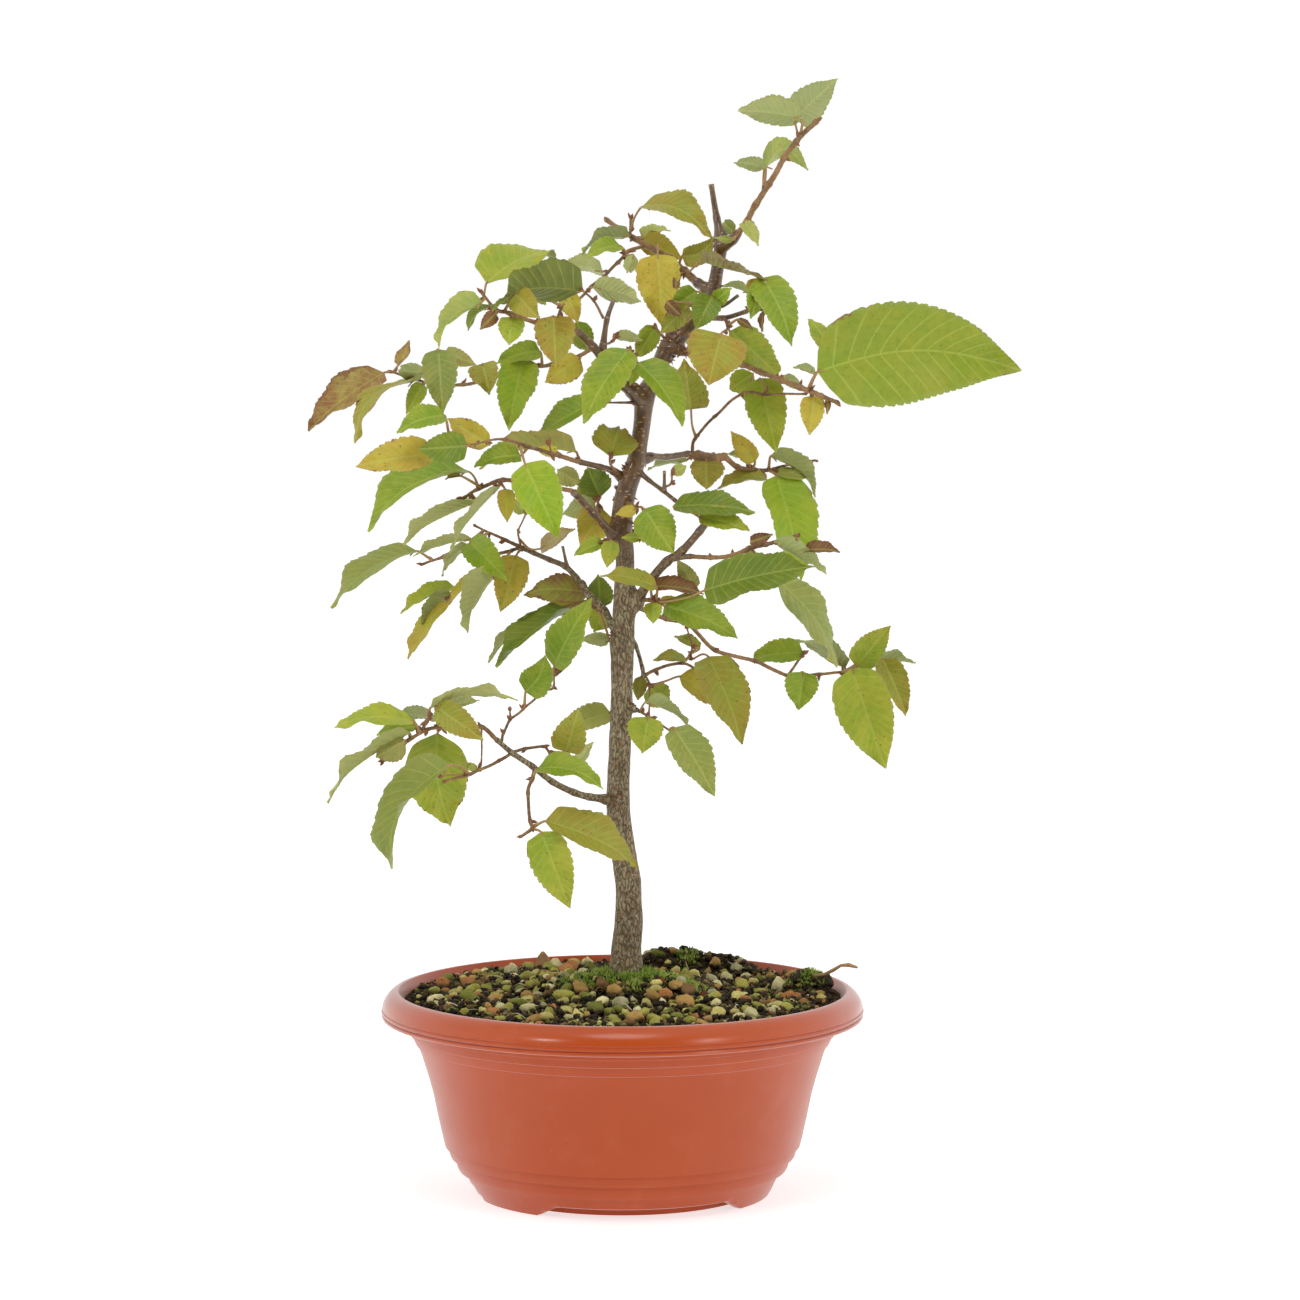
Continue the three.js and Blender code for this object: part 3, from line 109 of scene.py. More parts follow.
SHOOTS = {
  "leader": {
    "twigs": [
      [[52.4, 436.5, -3.2, 1.5], [56, 441, -5, 1.5], [60, 449, -7, 1.45], [66, 458, -9, 1.4],
       [73, 470, -12, 1.3], [78, 477, -13, 1.25], [87, 486, -16, 1.15]],
    ],
    "leaves": [
      ["grey", "under", [81, 487.5, -13], [52, 491, -22], 14, 2, 0, [[79.5, 479.5, -13]]],
      ["grey", "under", [77.5, 487.5, -12], [96.5, 505, -1], 18, 2, 0, [[79, 480, -12.5]]],
      ["grey", "under", [64.5, 465.5, -6], [50, 468, -12], 7, 1, 0, [[62.5, 455, -8]]],
      ["lime", "under", [64, 465, -4], [83.5, 464.5, 9], 12, 5, 8, [[62.5, 455, -8]]],
      ["pale", "front", [54.5, 441, -9], [61.5, 431, -18], 7, 1, 0],
      ["grey", "front", [50.5, 436.5, 3], [45, 441, 10], 7, 1, 0],
      ["grey", "front", [49.5, 433, -7], [42, 434, -9], 4, 0, 0],
    ],
  },
  "crown_left": {
    "twigs": [
      [[33.6, 414.1, 6.8, 2], [28, 419, 11, 1.9], [20, 425, 17, 1.7], [12, 430, 24, 1.4],
       [5, 434, 28, 1.25], [-7, 442, 33, 1.1]],
      [[10, 430.5, 25, 0.9], [3, 428, 21, 0.85], [-2, 423, 17, 0.8], [-8, 417, 13, 0.8],
       [-14, 412, 9, 0.75], [-20, 406, 5, 0.7]],
      [[3.5, 435, 28, 0.8], [4, 442, 29, 0.6]],
    ],
    "leaves": [
      ["olive", "front", [9, 448, 27], [41, 435, 10], 14, 7, 0, [[4, 437, 28], [5.5, 443, 28]]],
      ["olive", "front", [27, 426, 12], [41, 434.5, 6], 11, 1, 3],
      ["rimmed", "under", [36, 424, 2], [66, 417, -26], 5, -1, 0, [[30.5, 419, 8]]],
      ["yellow", "front", [16, 426.5, 14], [18, 394.5, 2], 22, 2, 0, [[16, 431, 19]]],
      ["yellow", "front", [9, 433.5, 29], [27, 424.5, 24], 12, 1, 0],
      ["grey", "under", [3, 435, 26], [-19, 427.5, 12], 6, 3, 0],
      ["fresh", "front", [-1, 430.5, 20], [-16, 426.5, 4], 8, 1, 0],
      ["pale", "under", [5, 426.5, 16], [2, 418, 9], 7, 1, 0],
      ["pale", "front", [9, 434.5, 31], [22, 438, 44], 5, 1, 0],
      ["pale", "under", [-9, 419, 16], [-28, 421.5, 30], 9, 2, 0],
      ["pale", "under", [-13, 412, 6], [8.5, 405.5, -8], 11, 2, 0],
      ["brown", "front", [26, 418, 9], [24, 410, 6], 4, 1, 0],
    ],
  },
  "stub_leaf": {
    "twigs": [[[-8.5, 398, -9, 0.7], [-13, 406, -13, 0.55], [-18, 410.5, -20, 0.5]]],
    "leaves": [["shade", "under", [-18, 410.5, -20], [-60, 403, -59], 17, 6, 0]],
  },
  "upper_left": {
    "twigs": [
      [[-20, 391.8, -16.5, 1.2], [-29, 395, -22, 1.05], [-39, 396, -27, 1], [-50, 400, -32, 0.95],
       [-57, 402, -35, 0.85], [-63, 409, -38, 0.6]],
      [[-30, 396, -22, 0.7], [-28, 401, -14, 0.6], [-24.5, 410, -9, 0.5]],
    ],
    "leaves": [
      ["lime", "front", [-61, 414, -32], [-27, 427, 4], 13, 5, 0, [[-62, 410, -37]]],
      ["olive", "front", [-48, 409, -36], [-37.5, 398, -43], 13, 1, 0],
      ["lime", "front", [-50, 398.5, -36], [-51, 386, -40], 12, 1, 0],
      ["brown", "front", [-57, 400, -36], [-64, 393, -40], 7, 1, 0],
      ["lime", "under", [-63, 405.5, -38], [-83, 384, -52], 7, 6, 0],
      ["dark", "under", [-60, 404, -34], [-70, 393, -26], 5, 2, 0],
      ["mottled", "front", [-31, 399, -27], [-30, 376.5, -33], 19, 2, 0],
      ["yellow", "front", [-24.5, 409, -10], [-20, 396, -15], 10, 1, 0],
      ["fresh", "front", [-20.5, 396.5, -8], [-15, 382, 4], 11, 1, 0],
      ["pale", "front", [-38, 409, -14], [-34.5, 404, -12], 5, 0, 0],
    ],
  },
  "upper_left_low": {
    "twigs": [
      [[-14, 384, -10, 1], [-22, 380, -4, 0.95], [-32, 377, 3, 0.95], [-40, 376, 9, 0.9],
       [-52, 373, 17, 0.9], [-65, 369.5, 25, 0.85], [-72, 368, 29, 0.85], [-85, 368.5, 35, 0.8],
       [-95, 371, 39, 0.75], [-104, 374, 42, 0.6]],
    ],
    "leaves": [
      ["yellow", "front", [-19, 380, -7], [-35, 369, -5], 13, 1, 0],
      ["fresh", "front", [-37, 383, 6], [-57, 377.5, 0], 10, 3, 0],
      ["bright", "front", [-44.5, 380, 4], [-51.5, 348, -14], 19, 2, 0],
      ["olive", "front", [-63, 377.5, 16], [-60, 364, 7], 15, 1, 0],
      ["grey", "front", [-83, 384, 26], [-81, 355.5, 12], 17, 2, 0],
      ["olive", "under", [-80, 382.5, 36], [-66, 377, 42], 9, 1, 0],
      ["grey", "under", [-89, 373, 34], [-101.5, 374.5, 22], 9, 1, 0],
      ["lime", "front", [-90, 368.5, 36], [-97.5, 355, 30], 9, 1, 0],
      ["rust", "front", [-107.5, 373.5, 43], [-142, 347.5, 30], 15, 2, 0],
      ["olive", "front", [-94, 370, 36], [-123, 342.5, 20], 8, 8, 0],
      ["rust", "front", [-101, 377, 44], [-96, 388, 52], 6, -1, 0],
    ],
  },
  "fork": {
    "twigs": [[[12, 369, -2, 0.9], [9, 375, -8, 0.8], [5, 380.5, -10.5, 0.7], [3.5, 383.5, -11.5, 0.6]]],
    "leaves": [
      ["fresh", "front", [7, 378, -13], [27.5, 349.5, -22], 14, 3, 0],
      ["fresh", "front", [3, 384, -14], [-18, 351, -26], 19, 3, 0],
      ["lime", "front", [6, 376, -8], [3.5, 368, -10], 6, 0, 0],
    ],
  },
  "fork_low": {
    "twigs": [[[-3, 368, -5, 0.8], [-8, 363, -9, 0.6], [-13, 360, -11, 0.5]]],
    "leaves": [["fresh", "front", [-13, 360, -11], [-38.5, 345, -3], 11, 1, 0]],
  },
  "fork_back": {
    "twigs": [[[19, 389, 4, 0.8], [15, 394, 9, 0.5]]],
    "leaves": [["lime", "front", [15, 394.5, 9], [6, 380, 12], 11, 1, 0]],
  },
  "fork_pale": {
    "twigs": [[[-9, 386, -9, 0.6], [-5.5, 387, -5, 0.5], [-3.5, 390, -2, 0.45]]],
    "leaves": [["pale", "under", [-3, 390.5, -1], [9, 388, 3], 6, 0, 0]],
  },
  "crown_mid": {
    "twigs": [[[37, 403, -1, 1.1], [40, 405.5, -6, 0.9], [41, 407.5, -9, 0.7]]],
    "leaves": [
      ["dark", "front", [40.5, 407.5, -10], [33, 393, -15], 14, 2, 0],
      ["fresh", "front", [42, 406, -9], [49, 411.5, -14], 8, 1, 0],
      ["fresh", "front", [33.5, 410, -5], [22, 403, -4], 11, 1, 0, [[37, 408.5, -6]]],
      ["olive", "front", [29.5, 404, -7], [17, 391, -8], 11, 1, 0, [[36, 406, -8]]],
      ["brown", "front", [20, 405.5, -10], [27, 398.5, -12], 6, 0, 0, [[30, 405, -9]]],
    ],
  },
  "crown_right": {
    "twigs": [[[56.4, 401.2, -9.3, 0.9], [61, 402, -13, 0.75], [68, 401, -18, 0.55]]],
    "leaves": [
      ["fresh", "front", [62, 412, -15], [58, 398, -21], 10, 1, 0],
      ["yellow", "front", [57, 409.5, -12], [63, 415.5, -9], 8, 0, 0],
      ["fresh", "front", [63, 416, -12], [77, 386, -30], 18, 4, 0, [[66, 403, -17], [64, 411, -14]]],
      ["grey", "under", [57, 409, -10], [45, 412.5, -8], 4, 2, 0],
      ["brown", "front", [63.5, 401, -15], [63, 392, -17], 3, 0, 0],
    ],
  },
  "crown_right_low": {
    "twigs": [[[46, 398, -5, 0.8], [47.5, 394.5, -11, 0.6], [46.5, 392, -15, 0.55]]],
    "leaves": [
      ["mottled", "front", [44.5, 391, -19], [39, 368, -26], 29, 1, 0],
      ["lime", "front", [48.5, 392, -9], [71, 371, 6], 17, 2, 0],
      ["brown", "front", [52, 397.5, -11], [59, 393, -13], 4, 0, 0],
    ],
  },
  "big_leaf": {
    "twigs": [
      [[37.5, 380.2, -3.2, 1.35], [54, 377, -9, 1.3], [62, 374, -13, 1.25], [72, 370, -19, 1.2],
       [80, 367, -24, 1.35], [90, 363, -31, 1.1], [97, 360, -35, 0.9]],
    ],
    "leaves": [
      ["broad", "front", [88, 374, -33], [180, 374.5, -44], 47, 1, -9, [[84, 367, -28]]],
      ["lime", "front", [94, 383, -24], [84, 398.5, -16], 9, 1, 0, [[87, 372, -27]]],
      ["grey", "under", [87, 373.5, -27], [77, 376, -24], 4, 1, 0],
      ["grey", "under", [73, 372, -15], [81, 366, -16], 6, 1, 0],
      ["yellow", "front", [86, 363, -27], [84.5, 345.5, -33], 12, 1, 0],
      ["brown", "front", [92.5, 361.5, -33], [92.5, 355, -35], 3, 0, 0],
    ],
  },
  "right_mid": {
    "twigs": [
      [[30, 336.8, 11.6, 1.5], [34, 336, 13, 2.3], [41, 335, 16, 2.3], [46, 335.5, 19, 1.6],
       [52, 331, 22, 1.3], [60, 329.5, 26, 1.1], [75, 330, 33, 0.8]],
      [[68, 330.2, 30, 0.7], [78, 332.5, 35, 0.6], [87, 334, 40, 0.5]],
      [[31.5, 337.5, 12, 0.9], [33, 344, 10, 0.75], [42, 354, 6, 0.7], [54, 364, 1, 0.7],
       [65, 363.8, -3, 0.65], [82, 364, -8, 0.5]],
    ],
    "leaves": [
      ["olive", "front", [31, 357, 5], [28, 379, -9], 20, 1, 0, [[32.5, 345, 10], [31.5, 350, 8]]],
      ["lime", "front", [62, 371, 4], [69.5, 337.5, -5], 20, 2, 0, [[65.5, 364, -3], [64, 368, 0]]],
      ["lime", "front", [59, 373, 9], [48.5, 366, 16], 13, 0, 0, [[57, 366, 5]]],
      ["yellow", "front", [60, 333.5, 25], [49, 347, 22], 10, 1, 0],
      ["grey", "under", [67, 336, 28], [88, 317.5, 18], 8, 5, 0],
      ["pale", "front", [69, 328.5, 29], [86, 325, 24], 6, 1, 0],
      ["olive", "front", [65, 326.5, 25], [43, 322, 16], 7, 1, 0],
      ["bright", "front", [69.5, 327, 26], [81.5, 280, 6], 24, 2, 0],
      ["pale", "under", [57, 335, 26], [47, 337.5, 27], 4, 0, 0],
      ["grey", "under", [29, 334, 14], [11, 330.5, 6], 5, 1, 0],
      ["olive", "front", [38, 333.5, 13], [38, 321, 6], 17, 1, 0],
    ],
  },
  "right_inner": {
    "twigs": [[[24.4, 315.4, -12.8, 0.85], [29, 312.5, -15, 0.6]]],
    "leaves": [
      ["dark", "front", [23, 313, -15], [60, 311, -26], 13, 2, 0],
      ["lime", "front", [34.5, 308.5, -20], [57.5, 302, -24], 10, 1, 0],
    ],
  },
  "right_inner_pale": {
    "twigs": [[[18, 321.5, -8, 0.6], [22, 323.5, -11, 0.5], [22.5, 328, -12, 0.45]]],
    "leaves": [["pale", "front", [22.5, 328, -12], [29, 331.5, -8], 6, 0, 0]],
  },
  "front_right": {
    "twigs": [[[2, 315, -4, 0.8], [6, 313, -8, 0.6], [9.5, 311.5, -9, 0.55], [9, 300, -9, 0.5]]],
    "leaves": [
      ["fresh", "front", [10, 312, -11], [23, 292, -17], 19, 1, 0],
      ["yellow", "front", [6, 312, -9], [-3, 309.5, -11], 6, 0, 0],
      ["lime", "front", [8, 299, -9], [0, 299, -11], 5, 0, 0],
    ],
  },
  "left_upper": {
    "twigs": [
      [[-19.5, 333.3, -12.9, 1.15], [-32, 337, -20, 1], [-42, 340, -28, 0.85], [-54, 343.5, -36, 0.6],
       [-66, 341.5, -35, 0.5], [-80, 339, -33, 0.45]],
      [[-32, 337, -20, 0.6], [-33, 341, -21, 0.4]],
    ],
    "leaves": [
      ["olive", "under", [-21, 338, -8], [-66, 332.5, -20], 9, 5, 0],
      ["yellow", "front", [-29, 337.5, -15], [-39, 339, -14], 6, 0, 0],
      ["fresh", "front", [-46, 336, -27], [-67, 331, -35], 10, 3, 0],
      ["bright", "front", [-44, 332.5, -34], [-29, 299, -45], 22.5, 1, 0],
      ["yellow", "front", [-60, 341, -32], [-79, 353, -26], 12, 1, 0],
      ["dark", "front", [-70, 340.5, -37], [-92, 339, -39], 15, 1, 0],
      ["fresh", "front", [-80, 354, -33], [-102, 347, -45], 11, 3, 0],
      ["yellow", "front", [-85, 337, -31], [-120.5, 331.5, -36], 16, 1, 0],
    ],
  },
  "left_tan": {
    "twigs": [
      [[-22.6, 320.2, -16, 1.1], [-38, 323, -6, 1], [-54, 325, 0, 1], [-65, 321, 5, 0.9],
       [-72, 317, 8, 0.75]],
    ],
    "leaves": [
      ["fresh", "front", [-70, 329, 2], [-117, 303.5, -14], 13, 7, 0, [[-65, 322, 5], [-67, 326.5, 4]]],
      ["pale", "under", [-66, 315.5, 7], [-100, 298, 20], 3, 1, 0],
      ["pale", "under", [-56, 322, 3], [-80, 293, -6], 3.5, 1, 0],
      ["yellow", "front", [-53, 321, 2], [-52, 306, -3], 9, 1, 0],
      ["rust", "front", [-73, 327, -2], [-80, 325.5, -6], 3, 1, 0],
    ],
  },
  "left_inner": {
    "twigs": [[[-12, 308.5, -6, 0.8], [-11.5, 312, 1, 0.6], [-10.5, 317, 6, 0.5]]],
    "leaves": [
      ["dark", "front", [-10, 317.5, 6], [-16, 331, 12], 16, 0, 0],
      ["olive", "under", [-29, 329.5, 12], [-18.5, 323.5, 5], 10, 0, 0],
      ["yellow", "front", [-9, 312, 4], [-19, 295.5, -1], 18, 0, 0],
      ["pale", "under", [-12.5, 315, 6], [-27, 309.5, 13], 12, 0, 0],
      ["lime", "front", [-11.5, 322, 9], [-22, 315, 12], 10, 0, 0],
    ],
  },
  "front_leaf": {
    "twigs": [[[-2, 328, -4, 0.8], [-5.5, 332.5, -8.5, 0.5], [-5.5, 335.5, -9, 0.5]]],
    "leaves": [["olive", "front", [-5.5, 336, -9], [-1, 350, 3], 22, 1, 0]],
  },
  "left_mid": {
    "twigs": [
      [[-45.4, 294.5, 25.8, 1.1], [-53, 298, 29, 0.8], [-66, 304, 35, 0.5]],
      [[-46, 294.5, 26, 0.9], [-60, 291, 32, 0.8], [-70, 293, 38, 0.75], [-82, 290, 44, 0.7],
       [-90, 287, 48, 0.6]],
      [[-60, 291, 32, 0.6], [-64, 283, 30, 0.5], [-72, 277, 31, 0.45], [-78, 272, 32, 0.4]],
      [[-46, 295, 26, 0.6], [-47, 302, 22, 0.5], [-43.5, 310, 16, 0.45]],
    ],
    "leaves": [
      ["bright", "front", [-69, 297, 26], [-52, 279.5, 9], 16, 4, 0],
      ["pale", "under", [-68, 298.5, 30], [-95, 292, 37], 5, 1, 0],
      ["yellow", "front", [-48, 291, 23], [-55, 265.5, 15], 17, 1, 0],
      ["pale", "under", [-57, 284, 19], [-71.5, 256, 6], 9, 3, 0],
      ["yellow", "front", [-64, 282, 27], [-79, 269, 24], 5, 1, 0],
      ["lime", "front", [-76, 276.5, 36], [-101, 265, 34], 7, 2, 0],
      ["grey", "under", [-77, 273.5, 33], [-92, 260, 24], 9, 1, 0],
      ["yellow", "front", [-79, 270, 29], [-97.5, 244, 18], 8, 1, 0],
      ["grey", "front", [-93, 293, 47], [-132.5, 267.5, 30], 11, 5, 0, [[-86, 289.5, 46]]],
      ["pale", "under", [-70, 296, 36], [-83, 282, 30], 5, 2, 0],
      ["pale", "front", [-44, 310.5, 16], [-50, 316, 20], 7, 0, 0],
      ["beige", "front", [-37, 294, 17], [-21.5, 303, 6], 8, 0, 0, [[-42, 294, 21]]],
    ],
  },
  "centre_left": {
    "twigs": [[[-9.5, 267, 5, 0.8], [-12, 267.5, 12, 0.6], [-14, 271, 16, 0.55]]],
    "leaves": [
      ["rimmed", "front", [-15, 274, 17], [-45.5, 274, 22], 14, 3, 0],
      ["dark", "front", [-10, 267, 15], [-11, 282.5, 22], 13, 0, 0],
      ["yellow", "front", [-20, 270, 19], [-36, 266.5, 26], 10, 0, 0],
      ["lime", "front", [-8, 266.5, 12], [-13, 256, 16], 12, 0, 0],
      ["pale", "under", [-6, 252.5, 9], [-19, 253, 13], 7, 0, 0],
      ["dark", "front", [-24, 267, 14], [-57.5, 240.5, 0], 10, 2, 0],
      ["pale", "under", [-34, 265.5, 20], [-62, 243, 12], 4, 2, 0],
    ],
  },
  "low_left": {
    "twigs": [
      [[-57.5, 207.4, -27.2, 1.1], [-64, 213, -30, 1], [-74, 212, -32, 0.95], [-82, 212.6, -34, 0.9],
       [-89, 211.6, -36, 0.85], [-97, 207, -38, 0.8], [-102, 202, -39, 0.7], [-108.5, 197.5, -40, 0.6]],
      [[-64, 213, -30, 0.5], [-64, 197, -31, 0.35]],
      [[-91, 211.5, -36, 0.7], [-89, 215.5, -37, 0.85], [-88, 217.5, -37, 0.5]],
    ],
    "leaves": [
      ["lime", "front", [-95, 215.5, -38], [-131, 214, -50], 9, 3, 0, [[-92.5, 210, -37], [-93, 213, -38]]],
      ["grey", "under", [-85, 217, -33], [-102, 219, -22], 7, 1, 0],
      ["fresh", "front", [-93, 213, -34], [-112, 209.5, -28], 8, 1, 0],
      ["pale", "under", [-97, 210.5, -39], [-137, 181, -54], 4, 2, 0],
      ["olive", "under", [-99, 207, -41], [-112, 199, -47], 14, 0, 0],
      ["lime", "front", [-84, 210, -32], [-78, 167, -22], 30, 1, 3],
      ["pale", "under", [-87, 222, -37], [-47, 227.5, -40], 6, 4, 0, [[-87.5, 216, -37]]],
      ["pale", "under", [-85, 222, -31], [-65, 225.5, -24], 7, 0, 0],
      ["olive", "front", [-84.5, 222, -38], [-63, 207, -43], 14, 2, 0, [[-83, 213, -34]]],
    ],
  },
  "low_up": {
    "twigs": [
      [[-55, 205.5, -26, 0.75], [-54, 210, -22, 0.65], [-51, 216, -16, 0.65], [-45, 221, -9, 0.6],
       [-36, 229, 0, 0.55], [-31.5, 231, 4, 0.55], [-31, 238, 4, 0.5]],
      [[-51, 216, -16, 0.5], [-51, 220, -16, 0.35]],
    ],
    "leaves": [
      ["fresh", "front", [-44, 229, -5], [-35, 245.5, -8], 16, 0, 2, [[-45, 222, -8.5]]],
      ["fresh", "front", [-31, 240.5, 3], [-14, 271.5, -8], 18, 2, 0],
      ["brown", "front", [-30, 236.5, 6], [-23, 250.5, 10], 6, 0, 0],
    ],
  },
  "low_twig": {
    "twigs": [
      [[-51.5, 200.2, -25, 0.8], [-56, 197.5, -28, 0.75], [-69, 191.5, -36, 0.7], [-80, 188.5, -43, 0.6]],
      [[-68, 192, -36, 0.5], [-82, 190.5, -46, 0.4]],
    ],
    "leaves": [
      [
        "grey", "front", [-79, 195.5, -52], [-108, 149.5, -62], 12.5, 2, 12,
        [[-69, 192.5, -38], [-74, 195, -45]],
      ],
      ["pale", "front", [-66, 193.5, -32], [-72, 196, -30], 4, 1, 0],
    ],
  },
  "low_inner": {
    "twigs": [[[-49, 201.7, -22, 0.8], [-44, 203, -19, 0.7], [-36, 204, -15, 0.65], [-33, 201, -13, 0.55]]],
    "leaves": [
      ["olive", "front", [-25.5, 201.5, -16], [-20, 220.5, -24], 17, 1, 0],
      ["pale", "under", [-21, 197, -8], [-13.5, 206, -3], 6, 0, 0],
    ],
  },
  "low_back": {
    "twigs": [[[-1, 221, 3, 0.8], [-5, 219.5, 9, 0.5]]],
    "leaves": [["pale", "front", [-5.5, 219.3, 9.5], [-29, 212, 0], 13, 1, 0]],
  },
  "hanging": {
    "twigs": [
      [[-40, 193.8, -18.5, 1], [-41, 189, -21, 0.9], [-43, 183, -24, 0.8], [-42, 170, -28, 0.8],
       [-41, 167, -29, 0.95], [-45, 163.5, -31, 0.6]],
    ],
    "leaves": [
      ["olive", "front", [-35, 170, -30], [8, 149.5, -18], 18, 3, 0],
      ["lime", "front", [-37, 165, -32], [-24, 130, -42], 20, 1, 0],
      ["fresh", "front", [-38.5, 194, -24], [-8, 186, -34], 11, 4, 0],
    ],
  },
  "right_big": {
    "twigs": [
      [[31.5, 290.5, -15.8, 1.1], [40, 290, -20, 1.05], [50, 291, -25, 1], [57, 294, -29, 1.2],
       [65, 296, -33, 1], [79, 300, -40, 0.8]],
    ],
    "leaves": [
      ["grey", "under", [69, 297, -36], [93, 283, -46], 7, 1, 0],
      ["brown", "front", [82, 293, -39], [98.5, 292.5, -46], 6, 1, 0],
      ["brown", "front", [58, 297, -31], [68, 300.5, -34], 6, 1, 0],
      ["grey", "front", [70, 280, -24], [98.5, 240.5, -12], 14, 4, 0],
    ],
  },
  "swelling": {
    "twigs": [[[8, 271, -3, 1.2], [13, 270.5, -8, 0.9], [16, 270, -10, 0.7]]],
    "leaves": [
      ["brown", "front", [13, 277, -9], [37, 274, -16], 8, 1, 0],
      ["olive", "front", [15.5, 276.5, -13], [-10, 282, -17], 9, 2, 0],
      ["lime", "front", [13.5, 269.5, -10], [14, 260, -13], 9, 1, 0],
      ["fresh", "front", [19, 268, -12], [52.5, 254.5, -24], 15, 2, 0],
      ["yellow", "front", [17, 270.5, -6], [27, 270, -3], 5, 0, 0],
      ["dark", "front", [37, 275, -32], [87, 286, -48], 21, 2, 0, [[20, 270, -14], [30, 272, -25]]],
      ["olive", "under", [33, 276, -8], [25, 289, -2], 9, 1, 0, [[22, 271, -9]]],
    ],
  },
  "right_low": {
    "twigs": [
      [[12.4, 265.1, 6.3, 1.1], [20, 262, 11, 1.05], [30, 259.6, 17, 1], [42, 248, 23, 1],
       [60, 243, 30, 0.95], [76, 236, 36, 0.9], [89, 237, 41, 0.8], [101, 238, 45, 0.7]],
      [[75, 236.5, 36, 0.7], [82, 246, 39, 0.6]],
    ],
    "leaves": [
      ["fresh", "front", [82, 246.5, 40], [57.5, 243, 46], 12, 3, 0],
      ["grey", "under", [101, 240, 47], [78, 254, 36], 8, 2, 0],
      ["lime", "front", [106, 240.5, 43], [121.5, 259, 38], 15, 1, 0],
      ["olive", "front", [118, 244, 46], [129, 218, 40], 14, 1, 0],
      ["grey", "under", [107, 242, 50], [133, 243, 56], 6, 1, 0],
      ["lime", "front", [104, 239.5, 38], [119.5, 194, 24], 29, 1, 0],
      ["fresh", "front", [82, 238, 33], [80, 221, 26], 17, 0, 0],
    ],
  },
  "right_dark": {
    "twigs": [
      [[10, 236.3, 8.2, 0.9], [15, 239, 10, 0.8], [27, 242, 16, 0.75], [37, 237, 21, 0.6]],
      [[27, 242, 16, 0.6], [31, 246.5, 14, 0.55], [31.5, 250.5, 12, 0.5], [29.3, 257.5, 9, 0.35]],
      [[10.3, 236.5, 8.2, 0.7], [12.3, 231.5, 7, 0.5], [12, 220, 6, 0.4]],
    ],
    "leaves": [
      ["olive", "front", [35, 248.5, 17], [23.5, 254.5, 24], 6, 1, 0],
      ["olive", "front", [29, 243.5, 11], [14, 243.5, 4], 6, 2, 0],
      ["yellow", "front", [26, 236, 12], [52.5, 220, 16], 14, 1, 0, [[13, 231.5, 7], [20, 234, 9]]],
      ["olive", "front", [39, 245, 7], [55, 206, -14], 22, 2, 0, [[31, 243.5, 14], [36, 246, 10]]],
      ["lime", "front", [12.5, 231.5, 10], [20, 221.5, 15], 13, 0, 0],
      ["olive", "front", [8.5, 236, 11], [7, 225, 13], 7, 0, 0],
    ],
  },
  "right_lowest": {
    "twigs": [[[8.4, 219.8, -4, 0.7], [13, 217, -7, 0.6], [22, 211, -12, 0.5]]],
    "leaves": [
      ["lime", "front", [11.5, 217.5, -8], [9, 201, -14], 17, 0, 0],
      ["grey", "under", [11, 224.5, -6], [31, 213, -15], 4, 2, 0, [[8.5, 221.5, -5]]],
      ["grey", "front", [23, 212.5, -14], [42, 181.5, -26], 18, 2, 0],
    ],
  },
  "left_spur": {
    "twigs": [[[-2, 297, -4, 0.9], [-6, 297.5, -9, 0.6], [-8, 297.3, -9.5, 0.5]]],
    "leaves": [
      ["lime", "front", [-5, 297.5, -10], [-7, 285.5, -14], 9, 1, 0],
      ["fresh", "front", [-8.5, 297, -9.5], [-22, 291, -12], 7, 1, 0],
    ],
  },
}

# Pot: the outside from the base up, over the rim and down inside, as [radius, height]
POT_PROFILE = [
    [0, 0], [30, 0], [31, 1], [60.5, 1], [61, 5.6], [64.4, 5.6], [64.4, 0], [67.2, 0],
    [68.6, 2.6], [70, 5.6], [71.2, 8], [72.3, 10.2], [73, 11], [74.9, 11], [75.6, 12.2], [76.8, 17],
    [78.6, 17], [79.1, 18.2], [80, 22], [81.2, 22], [82.2, 26], [84.4, 36], [86.4, 46], [88.6, 54],
    [92, 65], [93.6, 68.9], [94.4, 69.2], [94.7, 69.8], [96.2, 73.3], [97, 73.6], [97.3, 74.2], [98.3, 77],
    [99.1, 77.2], [99.4, 77.8], [99.8, 80.3], [104, 80.5], [108.4, 80.4], [109.3, 80.8], [109.7, 81.5],
    [109.5, 82.2], [108.9, 82.5], [109.5, 82.9], [109.95, 83.5], [109.85, 84.2], [109.3, 84.6],
    [109.6, 85.3], [109.3, 86.7], [108.5, 88.6], [107.3, 90.2], [106, 91.5], [104.6, 92.5], [103, 93],
    [102.1, 92.9], [101.6, 92.3], [100.6, 90], [97, 80], [93.4, 71.5], [89.6, 64], [82.2, 36],
    [79, 24.2], [73, 18.4], [66.4, 9], [59.6, 8.4], [58, 3.2], [0, 3.2],
]
POT_TURNS = 200
FOOT_INSIDE = 62.7
FOOT_OUTSIDE = 72.0
FEET = 3
NOTCH_ANGLE = math.radians(86)
FIRST_NOTCH = math.radians(9)
NOTCH_HEIGHT = 5.1
NOTCH_SLOPE = 11 / 67.2
POT_CREASE = math.radians(28)
DRAINS = 8
DRAIN_RADIUS = 4.0
DRAIN_RING = 45.0
DRAIN_REACH = 6.0
DRAIN_TURNS = 32

# Soil
SOIL_EDGE = 88.8
SOIL_RADIUS = 99.6
TRUNK_X = 2
